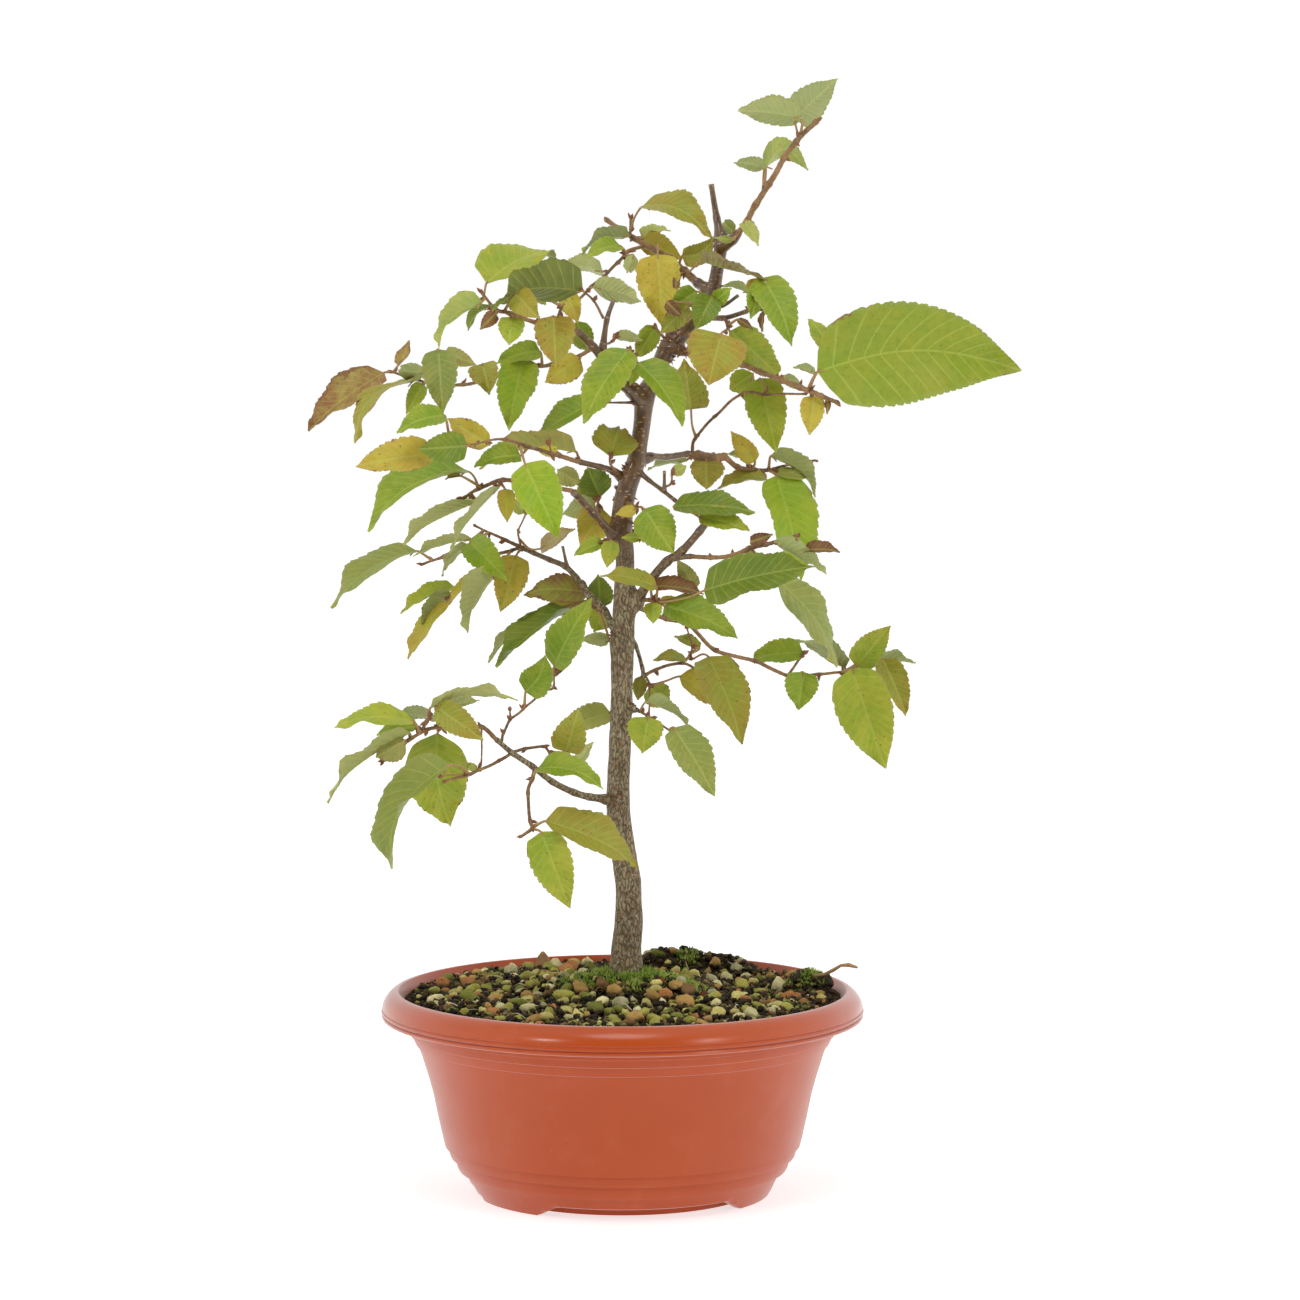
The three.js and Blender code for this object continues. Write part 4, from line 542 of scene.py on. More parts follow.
# Raised patches and hollows: [x, y, rise, spread]
LUMPS = [
    [2, 2, 8.5, 34], [-16, -8, 3, 15], [20, -12, 3.5, 14], [14, 68, 8, 12], [32, 66, 9, 12],
    [50, 60, 7.5, 11], [84, 14, 8, 9], [92, 6, 5, 6], [-50, 20, 2.5, 22], [-20, -52, 2, 22],
    [45, -40, 2.5, 20], [-62, -30, 2, 18],
]

# Tones of blades: fresh colour, aged colour, how far aged, and how pale the underside is
TONES = {
    "fresh": ((120, 148, 28), (160, 166, 50), 0.3, 0.5),
    "lime": ((142, 162, 38), (180, 174, 56), 0.35, 0.45),
    "olive": ((150, 154, 50), (166, 142, 52), 0.5, 0.4),
    "yellow": ((190, 180, 60), (194, 160, 60), 0.6, 0.4),
    "dark": ((98, 122, 26), (132, 142, 40), 0.3, 0.12),
    "mottled": ((158, 158, 50), (170, 136, 50), 0.75, 0.45),
    "grey": ((134, 148, 66), (156, 154, 74), 0.3, 0.55),
    "pale": ((166, 174, 84), (176, 170, 92), 0.3, 0.55),
    "rust": ((170, 152, 74), (146, 98, 56), 0.85, 0.4),
    "brown": ((136, 96, 54), (104, 62, 36), 0.95, 0.3),
    "bright": ((136, 168, 28), (168, 174, 48), 0.3, 0.45),
    "broad": ((128, 148, 36), (152, 154, 44), 0.3, 0.45),
    "shade": ((86, 100, 24), (120, 124, 38), 0.35, 0.1),
    "rimmed": ((152, 150, 56), (132, 92, 50), 0.95, 0.3),
    "beige": ((196, 176, 128), (168, 138, 90), 0.6, 0.3),
}


def paint(red, green, blue):
    """Linear colour of a paint given in screen values from 0 to 255."""
    shares = [value / 255 for value in (red, green, blue)]
    return tuple(s / 12.92 if s <= 0.04045 else ((s + 0.055) / 1.055) ** 2.4 for s in shares)


def seen(point):
    """Real place of a point given as [x, z, y], as it is seen."""
    x, z, y = point[:3]
    return EYE + (np.array([x, 0.0, z]) - EYE) * (1 + SPREAD * y / -EYE[1])


def unit(vector):
    return vector / np.linalg.norm(vector, axis=-1, keepdims=True)


class Growth:
    """Points, faces and marks gathered for one mesh, in millimetres.

    A mark is a number or a colour at each point. marks gives its name and how many values it has.
    """

    def __init__(self, marks):
        self.marks = {name: [] for name in marks}
        self.widths = marks
        self.points = []
        self.faces = []
        self.kinds = []
        self.count = 0

    def add(self, points, faces, kind=0, **marks):
        """Add points, arrays of faces and marks. kind is the number of the finish on the faces."""
        points = np.asarray(points, float).reshape(-1, 3)
        self.points.append(points)
        for face in faces:
            face = np.asarray(face, int)
            self.faces.append(face + self.count)
            self.kinds.append(np.full(len(face), kind))
        for name, width in self.widths.items():
            value = np.asarray(marks.get(name, 0.0), float)
            shape = (len(points), width) if width > 1 else (len(points),)
            self.marks[name].append(np.broadcast_to(value, shape))
        self.count += len(points)

    def mesh(self, name, materials, crease=None):
        """Make the piece. Edges that turn by more than the crease angle stay sharp."""
        made = bpy.data.meshes.new(name)
        points = np.concatenate(self.points) * MM
        sizes = np.concatenate([np.full(len(f), f.shape[1]) for f in self.faces])
        corners = np.concatenate([f.ravel() for f in self.faces])
        made.vertices.add(len(points))
        made.vertices.foreach_set("co", points.ravel())
        made.loops.add(len(corners))
        made.loops.foreach_set("vertex_index", corners)
        made.polygons.add(len(sizes))
        made.polygons.foreach_set("loop_start", np.concatenate([[0], np.cumsum(sizes)[:-1]]))
        made.polygons.foreach_set("material_index", np.concatenate(self.kinds))
        made.update(calc_edges=True)
        made.validate()
        made.shade_smooth()
        for mark, parts in self.marks.items():
            values = np.concatenate(parts)
            if values.ndim == 2:
                layer = made.attributes.new(mark, "FLOAT_COLOR", "POINT")
                full = np.ones((len(values), 4))
                full[:, :3] = values
                layer.data.foreach_set("color", full.ravel())
            else:
                layer = made.attributes.new(mark, "FLOAT", "POINT")
                layer.data.foreach_set("value", values)
        if crease is not None:
            made.set_sharp_from_angle(angle=crease)
        for material in materials:
            made.materials.append(material)
        piece = bpy.data.objects.new(name, made)
        bpy.context.scene.collection.objects.link(piece)
        return piece


def smooth_curve(knots, step):
    """A smooth curve through knots of place and radius, with points about a step apart."""
    first = 2 * knots[0] - knots[1]
    last = 2 * knots[-1] - knots[-2]
    padded = np.vstack([first, knots, last])
    out = []
    for a, b, c, d in zip(padded, padded[1:], padded[2:], padded[3:]):
        many = max(2, int(round(np.linalg.norm((c - b)[:3]) / step)))
        t = np.arange(many)[:, None] / many
        out.append(0.5 * (2 * b + (c - a) * t + (2 * a - 5 * b + 4 * c - d) * t ** 2
                          + (3 * b - a - 3 * c + d) * t ** 3))
    curve = np.vstack(out + [knots[-1:]])
    return curve[:, :3], np.maximum(curve[:, 3], LEAST_RADIUS)


def smooth_path(path, step):
    """A smooth curve through points of [x, z, y, radius] as they are seen."""
    return smooth_curve(np.array([[*seen(p), p[3]] for p in path]), step)


def frames(centres):
    """Tangent and two crosswise directions at each point of a curve, turning as little as they can."""
    tangents = unit(np.gradient(centres, axis=0))
    across = np.cross([0.0, 1.0, 0.0], tangents[0])
    sides = []
    for tangent in tangents:
        across = across - tangent * np.dot(across, tangent)
        across = across / np.linalg.norm(across)
        sides.append(across)
    sides = np.array(sides)
    return tangents, sides, np.cross(tangents, sides)


def grid_faces(rows, turns):
    """Quads between rows of points, each row closing on itself."""
    r = np.arange(rows - 1)[:, None] * turns
    c = np.arange(turns)[None, :]
    n = (c + 1) % turns
    return np.stack([r + c, r + n, r + turns + n, r + turns + c], -1).reshape(-1, 4)


def fan_faces(start, turns, centre, outward):
    """Triangles from a ring of points to the one point that closes it."""
    c = np.arange(turns)
    n = (c + 1) % turns
    order = [start + c, start + n, np.full(turns, centre)]
    return np.stack(order if outward else order[::-1], -1)


def capped_faces(rows, turns):
    """Faces round a stack of rings, each end closed by one of the two points after the last ring."""
    after = rows * turns
    return [
        grid_faces(rows, turns),
        fan_faces(0, turns, after, False),
        fan_faces(after - turns, turns, after + 1, True),
    ]


# Slopes of the rings that round off a stem's end, and how far its last point stands out
DOME_DEGREES = [35, 65]
ROUND_TIP = 0.4
FLAT_TIP = 0.05


def tube(growth, centres, radii, turns, kind=0, round_end=True, swell=None, **marks):
    """A stem along a curve, with a domed or a flat far end. swell(points) gives extra radius."""
    tangents, sides, ups = frames(centres)
    if round_end:
        dome = np.radians(DOME_DEGREES)
        rise = tangents[-1:] * radii[-1]
        centres = np.vstack([centres] + [centres[-1:] + rise * math.sin(a) for a in dome])
        radii = np.concatenate([radii, radii[-1] * np.cos(dome)])
        sides = np.vstack([sides] + [sides[-1:]] * len(dome))
        ups = np.vstack([ups] + [ups[-1:]] * len(dome))
    angle = np.linspace(0, 2 * math.pi, turns, endpoint=False)[None, :, None]
    outward = sides[:, None] * np.cos(angle) + ups[:, None] * np.sin(angle)
    points = centres[:, None] + outward * radii[:, None, None]
    if swell is not None:
        points = points + outward * swell(points)[..., None]
    far_end = centres[-1:] + tangents[-1:] * radii[-1] * (ROUND_TIP if round_end else FLAT_TIP)
    every = np.vstack([points.reshape(-1, 3), centres[:1], far_end])
    growth.add(every, capped_faces(len(centres), turns), kind, **marks)


def nearest_between(first, last, place):
    """Nearest point to a place on a straight piece, whose ends may carry a radius after x, y and z."""
    way = last - first
    t = np.clip(np.dot(place - first[:3], way[:3]) / np.dot(way[:3], way[:3]), 0, 1)
    return first + way * t


def nearest_on(twigs, place):
    """Nearest point to a place on the twigs' centre lines, kept a little inside their ends."""
    found = []
    for twig in twigs:
        line = [seen(p) for p in twig]
        line[-1] = line[-1] + unit(line[-2] - line[-1]) * END_SINK
        found += [nearest_between(a, b, place) for a, b in zip(line, line[1:])]
    return min(found, key=lambda near: np.linalg.norm(near - place))


def nearest_wood(place):
    """Nearest point of the wood's centre lines to a place, with its radius."""
    found = []
    for path in WOOD.values():
        knots = np.array([[*seen(p), p[3]] for p in path])
        found += [nearest_between(a, b, place) for a, b in zip(knots, knots[1:])]
    return min(found, key=lambda near: np.linalg.norm(near[:3] - place) - near[3])


def run_along(centres):
    """Distance from a curve's start to each of its points."""
    return np.concatenate([[0], np.cumsum(np.linalg.norm(np.diff(centres, axis=0), axis=1))])


def random_way(draw):
    return unit(np.array([draw.gauss(0, 1) for _ in range(3)]))


def smoothstep(low, high, value):
    t = np.clip((value - low) / (high - low), 0, 1)
    return t * t * (3 - 2 * t)


# Skins of a leafy stem
BLADE_SKIN = 0
STEM_SKIN = 1
# Outline of a blade
WIDE_NEAR_BASE = 0.7
FULLNESS = 0.8
POINT_NARROWS = 0.2
EDGE_ON = 0.01
# Columns of a blade's grid, from the midrib to the rim
COLUMNS = np.array([0.0, 0.08, 0.36, 0.66, 0.88, 1.0])
# Pairs of side veins for blades over a length
VEINS = [(60, 13), (38, 13), (24, 12), (15, 10), (0, 8)]
VEIN_SLANT = 0.8
MOST_SLANT = 0.26
# A broad blade has finer rows and two large teeth a vein
BROAD_BLADE = 60
ROWS_A_VEIN = 6
BROAD_ROWS_A_VEIN = 14
# Teeth: share of the half width, depth in millimetres, and the part of a tooth before its peak
TOOTH_SHARE = 0.16
TOOTH_DEPTH = 1.5
TOOTH_MEAN = 0.55
TOOTH_SHIFT = 0.3
TOOTH_PEAK = 0.7
LARGE_TOOTH = 0.62
# Half thickness of the blade, and the ridges of the midrib and the veins below it
BLADE_HALF = 0.17
RIB = 0.5
RIB_SPREAD = 0.7
VEIN_RIDGE = 0.12
# Fold along the midrib, in degrees
LEAST_FOLD = 10
FOLD_RANGE = 12
FOLD_CHANGE = 1.7
# What changes from blade to blade, as a range of shares of its width or length
LOBES = (0.03, 0.07)
UNEVEN = 0.08
TWIST_DEGREES = 16
WAVES = (0.4, 1.1)
RIPPLES = (0.3, 0.8)
WAVY_WIDTH = 18
WAVES_A_BLADE = 1.7
RIPPLES_A_BLADE = 2.9
ROLLS = (0.02, 0.07)
DROOPS = (0.0, 0.07)
JITTER = (0.93, 1.07)
AGEING = (0.7, 1.3)
# Depth of the pleats between veins as a share of the width, and its limits
PLEAT_FRONT = 0.005
PLEAT_UNDER = 0.01
PLEAT_LIMITS = (0.05, 0.28)
# About a full turn, in radians, for random angles
ROUND = 6.28


def blade_tip(start, end):
    """Tip of a blade, whose own depth isn't spread."""
    return [end[0], end[1], start[2] + (end[2] - start[2]) / SPREAD]


def blade_frame(face, base, tip, wide):
    """Directions along, across and out of a blade, with its length and its full width."""
    along = tip - base
    length = np.linalg.norm(along)
    along = along / length
    across = unit(np.cross(along, unit(EYE - base)))
    facing = unit(np.cross(across, along))
    width = max(wide, LEAF_RATIO * length)
    lean = math.acos(min(1.0, wide / width))
    turn = math.pi - lean if face == "under" else lean
    upward = across if across[2] + EDGE_ON * across[0] > 0 else -across
    out = unit(facing * math.cos(turn) + upward * math.sin(turn))
    return along, unit(np.cross(along, out)), out, length, width


def outline(t):
    """Half width of an ovate blade with a rounded base and a drawn-out point."""
    ovate = np.maximum(np.sin(math.pi * np.clip(t, 0, 1) ** WIDE_NEAR_BASE), 0) ** FULLNESS
    return ovate * (1 - POINT_NARROWS * smoothstep(0.74, 0.97, t))


def teeth(phase):
    """A large tooth where each vein ends and a small one between, leaning to the tip."""
    def lean(p):
        return np.where(p < TOOTH_PEAK, p / TOOTH_PEAK, (1 - p) / (1 - TOOTH_PEAK))
    return LARGE_TOOTH * lean(phase % 1.0) + (1 - LARGE_TOOTH) * lean((2 * phase) % 1.0)


def lay(number, direction):
    """A direction as long as each of an array of numbers."""
    return number[..., None] * direction


def blade_lift(face, width, length, fold, grid, draw):
    """How far each point of a blade stands off its flat middle surface."""
    run, phase, apart, off, u, half_width = grid
    ends = smoothstep(0, 0.1, run)[:, None] * (1 - 0.6 * smoothstep(0.8, 1, run)[:, None])
    depth = np.clip((PLEAT_UNDER if face == "under" else PLEAT_FRONT) * width, *PLEAT_LIMITS)
    pleat = depth * np.cos(2 * math.pi * phase)[:, None]
    turn = draw.uniform(0, ROUND)
    waves, ripples = run * 2 * math.pi * WAVES_A_BLADE, run * 2 * math.pi * RIPPLES_A_BLADE
    wave = draw.uniform(*WAVES) * width / WAVY_WIDTH * np.sin(waves + turn)[:, None] * np.sign(off)
    ripple = draw.uniform(*RIPPLES) * width / WAVY_WIDTH * np.sin(ripples + 2 * turn)[:, None]
    roll = draw.choice([-1, 0.4, 1]) * draw.uniform(*ROLLS) * width
    droop = -draw.uniform(*DROOPS) * length * smoothstep(0.55, 1, u) ** 2
    pleated = pleat * ends * (1 - np.exp(-5 * apart)) * (1 - 0.5 * apart)
    folded = apart ** 1.2 * half_width * math.sin(fold)
    return folded - pleated + ((wave + ripple) * apart ** 2 + roll * apart ** 3) * ends + droop


def add_blade(growth, row, twigs, seed):
    """One leaf: its blade, then the stalk back to the nearest twig and the buds beside it."""
    tone, face, start, end, wide, arch, bend = row[:7]
    stalk = row[7] if len(row) > 7 else []
    draw = random.Random(seed)
    base, tip = seen(start), seen(blade_tip(start, end))
    along, across, out, length, width = blade_frame(face, base, tip, wide)
    fold = math.radians(LEAST_FOLD + FOLD_RANGE * abs(math.sin(base[0] * FOLD_CHANGE + base[2])))
    broad = length > BROAD_BLADE
    veins = next(count for least, count in VEINS if length > least)
    rows = veins * (BROAD_ROWS_A_VEIN if broad else ROWS_A_VEIN) + 1

    # The grid: run goes from the stalk to the tip, off from rim to rim, u along the midrib
    run = np.linspace(0, 1, rows)
    off = np.concatenate([-COLUMNS[:0:-1], COLUMNS])[None, :]
    apart = np.abs(off)
    reach = min(VEIN_SLANT * width / (2 * length), MOST_SLANT) * outline(run)
    phase = run * veins
    half = outline(np.clip(run + reach, 0, 1)) * width / 2
    tooth_size = min(TOOTH_SHARE, TOOTH_DEPTH / max(width / 2, 1)) * smoothstep(0.02, 0.14, run)
    tooth = 1 + (teeth((2 if broad else 1) * phase + TOOTH_SHIFT) - TOOTH_MEAN) * tooth_size
    lobe = draw.uniform(*LOBES) * (1 - smoothstep(0.0, 0.2, run)) * smoothstep(0, 0.05, run)
    u = run[:, None] + reach[:, None] * apart ** 1.15 - lobe[:, None] * apart ** 2
    uneven = 1 + draw.uniform(-UNEVEN, UNEVEN) * np.sign(off)
    toothed = half[:, None] * np.where(apart == 1, tooth[:, None], 1.0)
    half_width = np.maximum(toothed * uneven, STALK_RADIUS)

    # The middle surface, arched, bent and twisted, then folded and waved
    bulge, slope = np.sin(math.pi * u), math.pi * np.cos(math.pi * u) / length
    middle = base + lay(u * length, along) + lay(arch * bulge, out) + lay(bend * bulge, across)
    tangent = unit(along + lay(arch * slope, out) + lay(bend * slope, across))
    normal = unit(np.cross(across, tangent))
    side = np.cross(tangent, normal)
    twist = (math.radians(draw.uniform(-TWIST_DEGREES, TWIST_DEGREES)) * (run - 0.4))[:, None, None]
    side, normal = (side * np.cos(twist) + normal * np.sin(twist),
                    normal * np.cos(twist) - side * np.sin(twist))
    lift = blade_lift(face, width, length, fold, (run, phase, apart, off, u, half_width), draw)
    sheet = middle + side * (off * half_width * math.cos(fold))[..., None] + normal * lift[..., None]

    # The two faces of the blade, joined at the rim
    thin = BLADE_HALF * (1 - apart ** 4) * np.ones_like(u)
    rib = RIB * (1 - 0.8 * run)[:, None] * np.exp(-(apart * half_width / RIB_SPREAD) ** 2)
    ridge = VEIN_RIDGE * (0.5 + 0.5 * np.cos(2 * math.pi * phase))[:, None] ** 6 * (1 - apart ** 3)
    above = sheet + normal * (thin - 0.25 * rib)[..., None]
    below = sheet - normal * (thin + rib + ridge)[..., None]
    points = np.concatenate([above, below[:, -2:0:-1]], 1)
    turns = points.shape[1]
    every = np.vstack([points.reshape(-1, 3), base - along * 0.3, sheet[-1].mean(0)])

    # Marks for the finish
    fresh, aged, age, pale = TONES[tone]
    backing = np.full(turns, pale)
    backing[:off.size] = 0
    backing[[0, off.size - 1]] = pale / 2
    columns = np.concatenate([off[0], off[0, -2:0:-1]])[None, :]
    ring_u = np.concatenate([u, u[:, -2:0:-1]], 1)
    place = np.stack([ring_u * length, columns * half[:, None], np.full(ring_u.shape, seed * 7.3)], -1)
    jitter = draw.uniform(*JITTER)

    def each(values):
        values = np.broadcast_to(values, (rows, turns) + np.shape(values)[2:])
        values = values.reshape((-1,) + np.shape(values)[2:])
        return np.concatenate([values, values[:1], values[-1:]])
    growth.add(
        every, capped_faces(rows, turns), BLADE_SKIN,
        place=each(place), vein=each(phase[:, None]), rim=each(np.abs(columns)), far=each(run[:, None]),
        backing=each(backing[None, :]), age=min(1.0, max(0.0, age * draw.uniform(*AGEING))),
        tint=np.array(paint(*fresh)) * jitter, fade=np.array(paint(*aged)) * jitter,
    )
    foot = add_stalk(growth, stalk, twigs, base, base + along * min(4.0, 0.2 * length) - out * 0.25)
    add_buds(growth, foot, unit(unit(base - foot + along) + random_way(draw) * 0.5), draw)


STALK_STEP = 1.2
STALK_FOOT = 0.75
STALK_TIP = 0.3
LEAST_STEM = 2


def add_stalk(growth, stalk, twigs, base, inside):
    """The stalk from the nearest twig to a blade's base and a little way under it; returns its foot."""
    stem = [seen(p) for p in stalk]
    foot = nearest_on(twigs, stem[0] if stem else base)
    stem = [p for p in stem if np.linalg.norm(p - foot) > LEAST_STEM]
    knots = [foot, *stem, base, inside]
    radii = [STALK_FOOT, *[STALK_RADIUS] * len(stem), STALK_RADIUS, STALK_TIP]
    centres, sizes = smooth_curve(np.array([[*p, r] for p, r in zip(knots, radii)]), STALK_STEP)
    tube(growth, centres, sizes, 6, STEM_SKIN, stalk=1.0, place=centres[0])
    return foot


BUDS_AT_A_NODE = 2
BUD_LENGTHS = (1.6, 3.6)
BUD_RADII = (0.5, 0.9)
BUD_SPREAD = 0.45


def add_buds(growth, foot, direction, draw):
    """Pointed buds and old bud scales where a leaf or a twig starts."""
    t = np.linspace(0, 1, 7)
    plump = np.sin(math.pi * np.clip(0.2 + 0.78 * t, 0, 1))
    for _ in range(BUDS_AT_A_NODE):
        long, thick = draw.uniform(*BUD_LENGTHS), draw.uniform(*BUD_RADII)
        lean = unit(direction + random_way(draw) * BUD_SPREAD)
        centres = foot + lean * (0.3 + long * t[:, None])
        tube(growth, centres, thick * plump + 0.05, 6, STEM_SKIN, bud=1.0)


TWIG_STEP = 0.9
TWIG_TURNS = 8
GREEN_TWIG = 0.7


def add_twig(growth, path, seed):
    """A thin stem, thicker at its nodes and with a short bud at its end."""
    centres, radii = smooth_path(path, TWIG_STEP)
    far = run_along(centres)
    knots = [seen(p) for p in path]
    nodes = [np.exp(-(np.linalg.norm(centres - k, axis=1) / 1.3) ** 2) for k in knots[1:]]
    swell = 0.94 + 0.3 * np.clip(np.sum(nodes, 0), 0, 1) + 0.05 * np.sin(far * 1.9 + seed)
    sway = np.stack([np.sin(far * 0.42 + seed + k) * 0.1 for k in (0, 2, 4)], -1)
    swayed = centres + sway * smoothstep(0, 6, far)[:, None]
    tube(growth, swayed, radii * swell, TWIG_TURNS, STEM_SKIN,
         stalk=0.3 if radii.max() < GREEN_TWIG else 0.0)
    draw = random.Random(seed)
    add_buds(growth, swayed[-1], unit(centres[-1] - centres[-3]), draw)
    for knot in knots[1:-1]:
        add_buds(growth, knot, random_way(draw), draw)


SHOOT_MARKS = {
    "place": 3, "tint": 3, "fade": 3, "vein": 1, "rim": 1, "far": 1, "backing": 1, "age": 1,
    "stalk": 1, "bud": 1,
}
BLADE_CREASE = math.radians(62)


def make_shoot(name, rows, order, materials):
    growth = Growth(SHOOT_MARKS)
    for i, path in enumerate(rows["twigs"]):
        add_twig(growth, path, order * 31 + i)
    for i, row in enumerate(rows["leaves"]):
        add_blade(growth, row, rows["twigs"], order * 17 + i + 1)
    piece = growth.mesh("leaves_" + name, materials, crease=BLADE_CREASE)
    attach(piece, "root")
    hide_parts("shoot_" + name)


# Knots and burrs of the trunk: [x, z, y, spread, height]
BURRS = [
    [7, 270, -1, 4.5, 1.6], [-4, 252, 0, 4, 0.8], [-3, 298, -2, 4.5, 1.2], [4, 330, -2, 4, 0.8],
    [12, 335, 0, 3.5, 0.9], [23, 388, -1, 4, 1.9], [19, 382, 1, 3, 1.3], [30, 391, 0, 3, 0.9],
    [26, 384, -2, 2.5, 1.2], [10, 362, -2, 5, 1.0], [-1, 178, -2, 5, 0.8], [4, 221, -2, 3, 0.7],
    [42, 410, 0, 4, 0.8], [33, 336, 13, 3, 0.7], [6, 120, -4, 5, 0.5], [-3, 145, -3, 4, 0.5],
    [44, 432, 0, 3.5, 0.9],
]
# Heights between which the bark turns from old and cracked to young and smooth
OLD_BARK = 262
YOUNG_BARK = 312
# How fine the cracks and lumps of old bark are along x, y and z
CRACK_SIZE = np.array([0.3, 0.3, 0.075])
LUMP_SIZE = np.array([0.12, 0.12, 0.05])


def burr_relief(points):
    """Extra radius of the wood at its knots and burrs."""
    relief = np.zeros(points.shape[:2])
    for x, z, y, spread, height in BURRS:
        far = np.linalg.norm(points - seen([x, z, y]), axis=-1)
        relief += height * np.exp(-(far / spread) ** 2)
    return relief


def bark_relief(points):
    """Extra radius of the trunk: burrs, lumps, and upright cracks where it is old."""
    relief = burr_relief(points)
    old = 1 - smoothstep(OLD_BARK, YOUNG_BARK, points[..., 2])
    for spot in np.ndindex(relief.shape):
        crack = noise.ridged_multi_fractal(Vector(points[spot] * CRACK_SIZE), 0.9, 2.1, 3, 1.0, 2.0)
        lump = noise.noise(Vector(points[spot] * LUMP_SIZE))
        relief[spot] += old[spot] * (0.34 - 0.3 * crack) + 0.5 * lump * (0.4 + 0.6 * old[spot])
    return relief


# Places with torn bark and old bud scales: [x, z, y], spread, how many
SCALY = [
    ([24, 386, -4], 6, 170), ([22, 390, 1], 5.5, 50), ([20, 381, 1], 4, 20), ([42, 411, 1], 3.5, 16),
    ([44.5, 433, 0], 3.4, 22), ([2, 330, -3], 4, 14), ([-3, 298, -2], 4.5, 16), ([6, 270, -1], 5, 22),
    ([11, 335, 0], 3.5, 12), ([-2, 254, 1], 4, 12), ([39, 335, 15], 4, 20), ([-2, 179, -2], 4, 12),
    ([3, 222, -1], 3.5, 10), ([0, 318, -1], 6, 26), ([0, 304, -1], 7, 30), ([9, 362, -1], 4.5, 14),
]
SCALE_LENGTHS = (1.0, 3.0)
SCALE_RADII = (0.3, 0.8)
SCALE_TAPER = np.array([0.7, 1.0, 1.0, 0.7, 0.2])
SCALE_LEAN = 0.8
SCALE_SPREAD = 0.8
SCALE_SINK = 0.3
SCALE_TURNS = 5


def add_scales(growth, place, spread, many):
    """Torn bark and old bud scales standing out of the wood."""
    draw = random.Random(int(place[1] * 10))
    centre = seen(place)
    t = np.linspace(0, 1, len(SCALE_TAPER))[:, None]
    for _ in range(many):
        start = centre + random_way(draw) * spread * draw.uniform(0.45, 1.0) * np.array([0.8, 0.8, 1.0])
        core = nearest_wood(start)
        out = unit(start - core[:3])
        foot = core[:3] + out * (core[3] - SCALE_SINK)
        long = draw.uniform(*SCALE_LENGTHS)
        lean = unit(out * SCALE_LEAN + random_way(draw) * SCALE_SPREAD)
        size = draw.uniform(*SCALE_RADII) * SCALE_TAPER
        tube(growth, foot + lean * long * t + out * SCALE_SINK * t ** 2, size, SCALE_TURNS,
             scale=draw.uniform(0.4, 1.0))


TRUNK_STEP = 1.0
TRUNK_TURNS = 44
FOOT_FLARE = 0.3
BRANCH_STEP = 0.8
BRANCH_TURNS = 16
COLLAR = 0.5
NODE_SWELL = 0.16
# Length of a cut end that shows bare wood
CUT_END = 1.6


def add_branch(growth, name, path):
    """A woody branch with a collar where it starts, or a cut or dead stub."""
    centres, radii = smooth_path(path, BRANCH_STEP)
    far = run_along(centres)
    collar = 1 + COLLAR * np.exp(-(far / (3.2 * radii[0])) ** 2)
    nodes = [np.exp(-(np.linalg.norm(centres - seen(p), axis=1) / 1.6) ** 2) for p in path[1:]]
    swell = 1 + NODE_SWELL * np.clip(np.sum(nodes, 0), 0, 1)
    cut = "stub" in name or name == "dead_top"
    bare = np.repeat(smoothstep(CUT_END, 0.2, far[-1] - far), BRANCH_TURNS)
    tube(growth, centres, radii * collar * swell, BRANCH_TURNS, round_end=not cut, swell=burr_relief,
         stub=np.append(bare, [0, 1]) if cut else 0.0)


def make_trunk(materials):
    """The trunk with its flared foot, its branches and its loose bark scales."""
    growth = Growth({"old": 1, "stub": 1, "scale": 1})
    for name, path in WOOD.items():
        if name != "trunk":
            add_branch(growth, name, path)
            continue
        centres, radii = smooth_path(path, TRUNK_STEP)
        flare = 1 + FOOT_FLARE * np.exp(-np.maximum(centres[:, 2] - 91, 0) / 5)
        tube(growth, centres, radii * flare, TRUNK_TURNS, swell=bark_relief)
    for place, spread, many in SCALY:
        add_scales(growth, place, spread, many)
    piece = growth.mesh("trunk_and_branches", materials)
    heights = np.array([p.co.z for p in piece.data.vertices])
    old = 1 - smoothstep(OLD_BARK * MM, YOUNG_BARK * MM, heights)
    piece.data.attributes["old"].data.foreach_set("value", old)
    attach(piece, "root")
    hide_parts("trunk")


def notch_height(turn):
    """Height of the arched openings between the feet at each angle from the front."""
    nearest = (turn - FIRST_NOTCH + math.pi / FEET) % (2 * math.pi / FEET) - math.pi / FEET
    return NOTCH_HEIGHT * np.clip((NOTCH_ANGLE / 2 - np.abs(nearest)) / NOTCH_SLOPE, 0, 1)


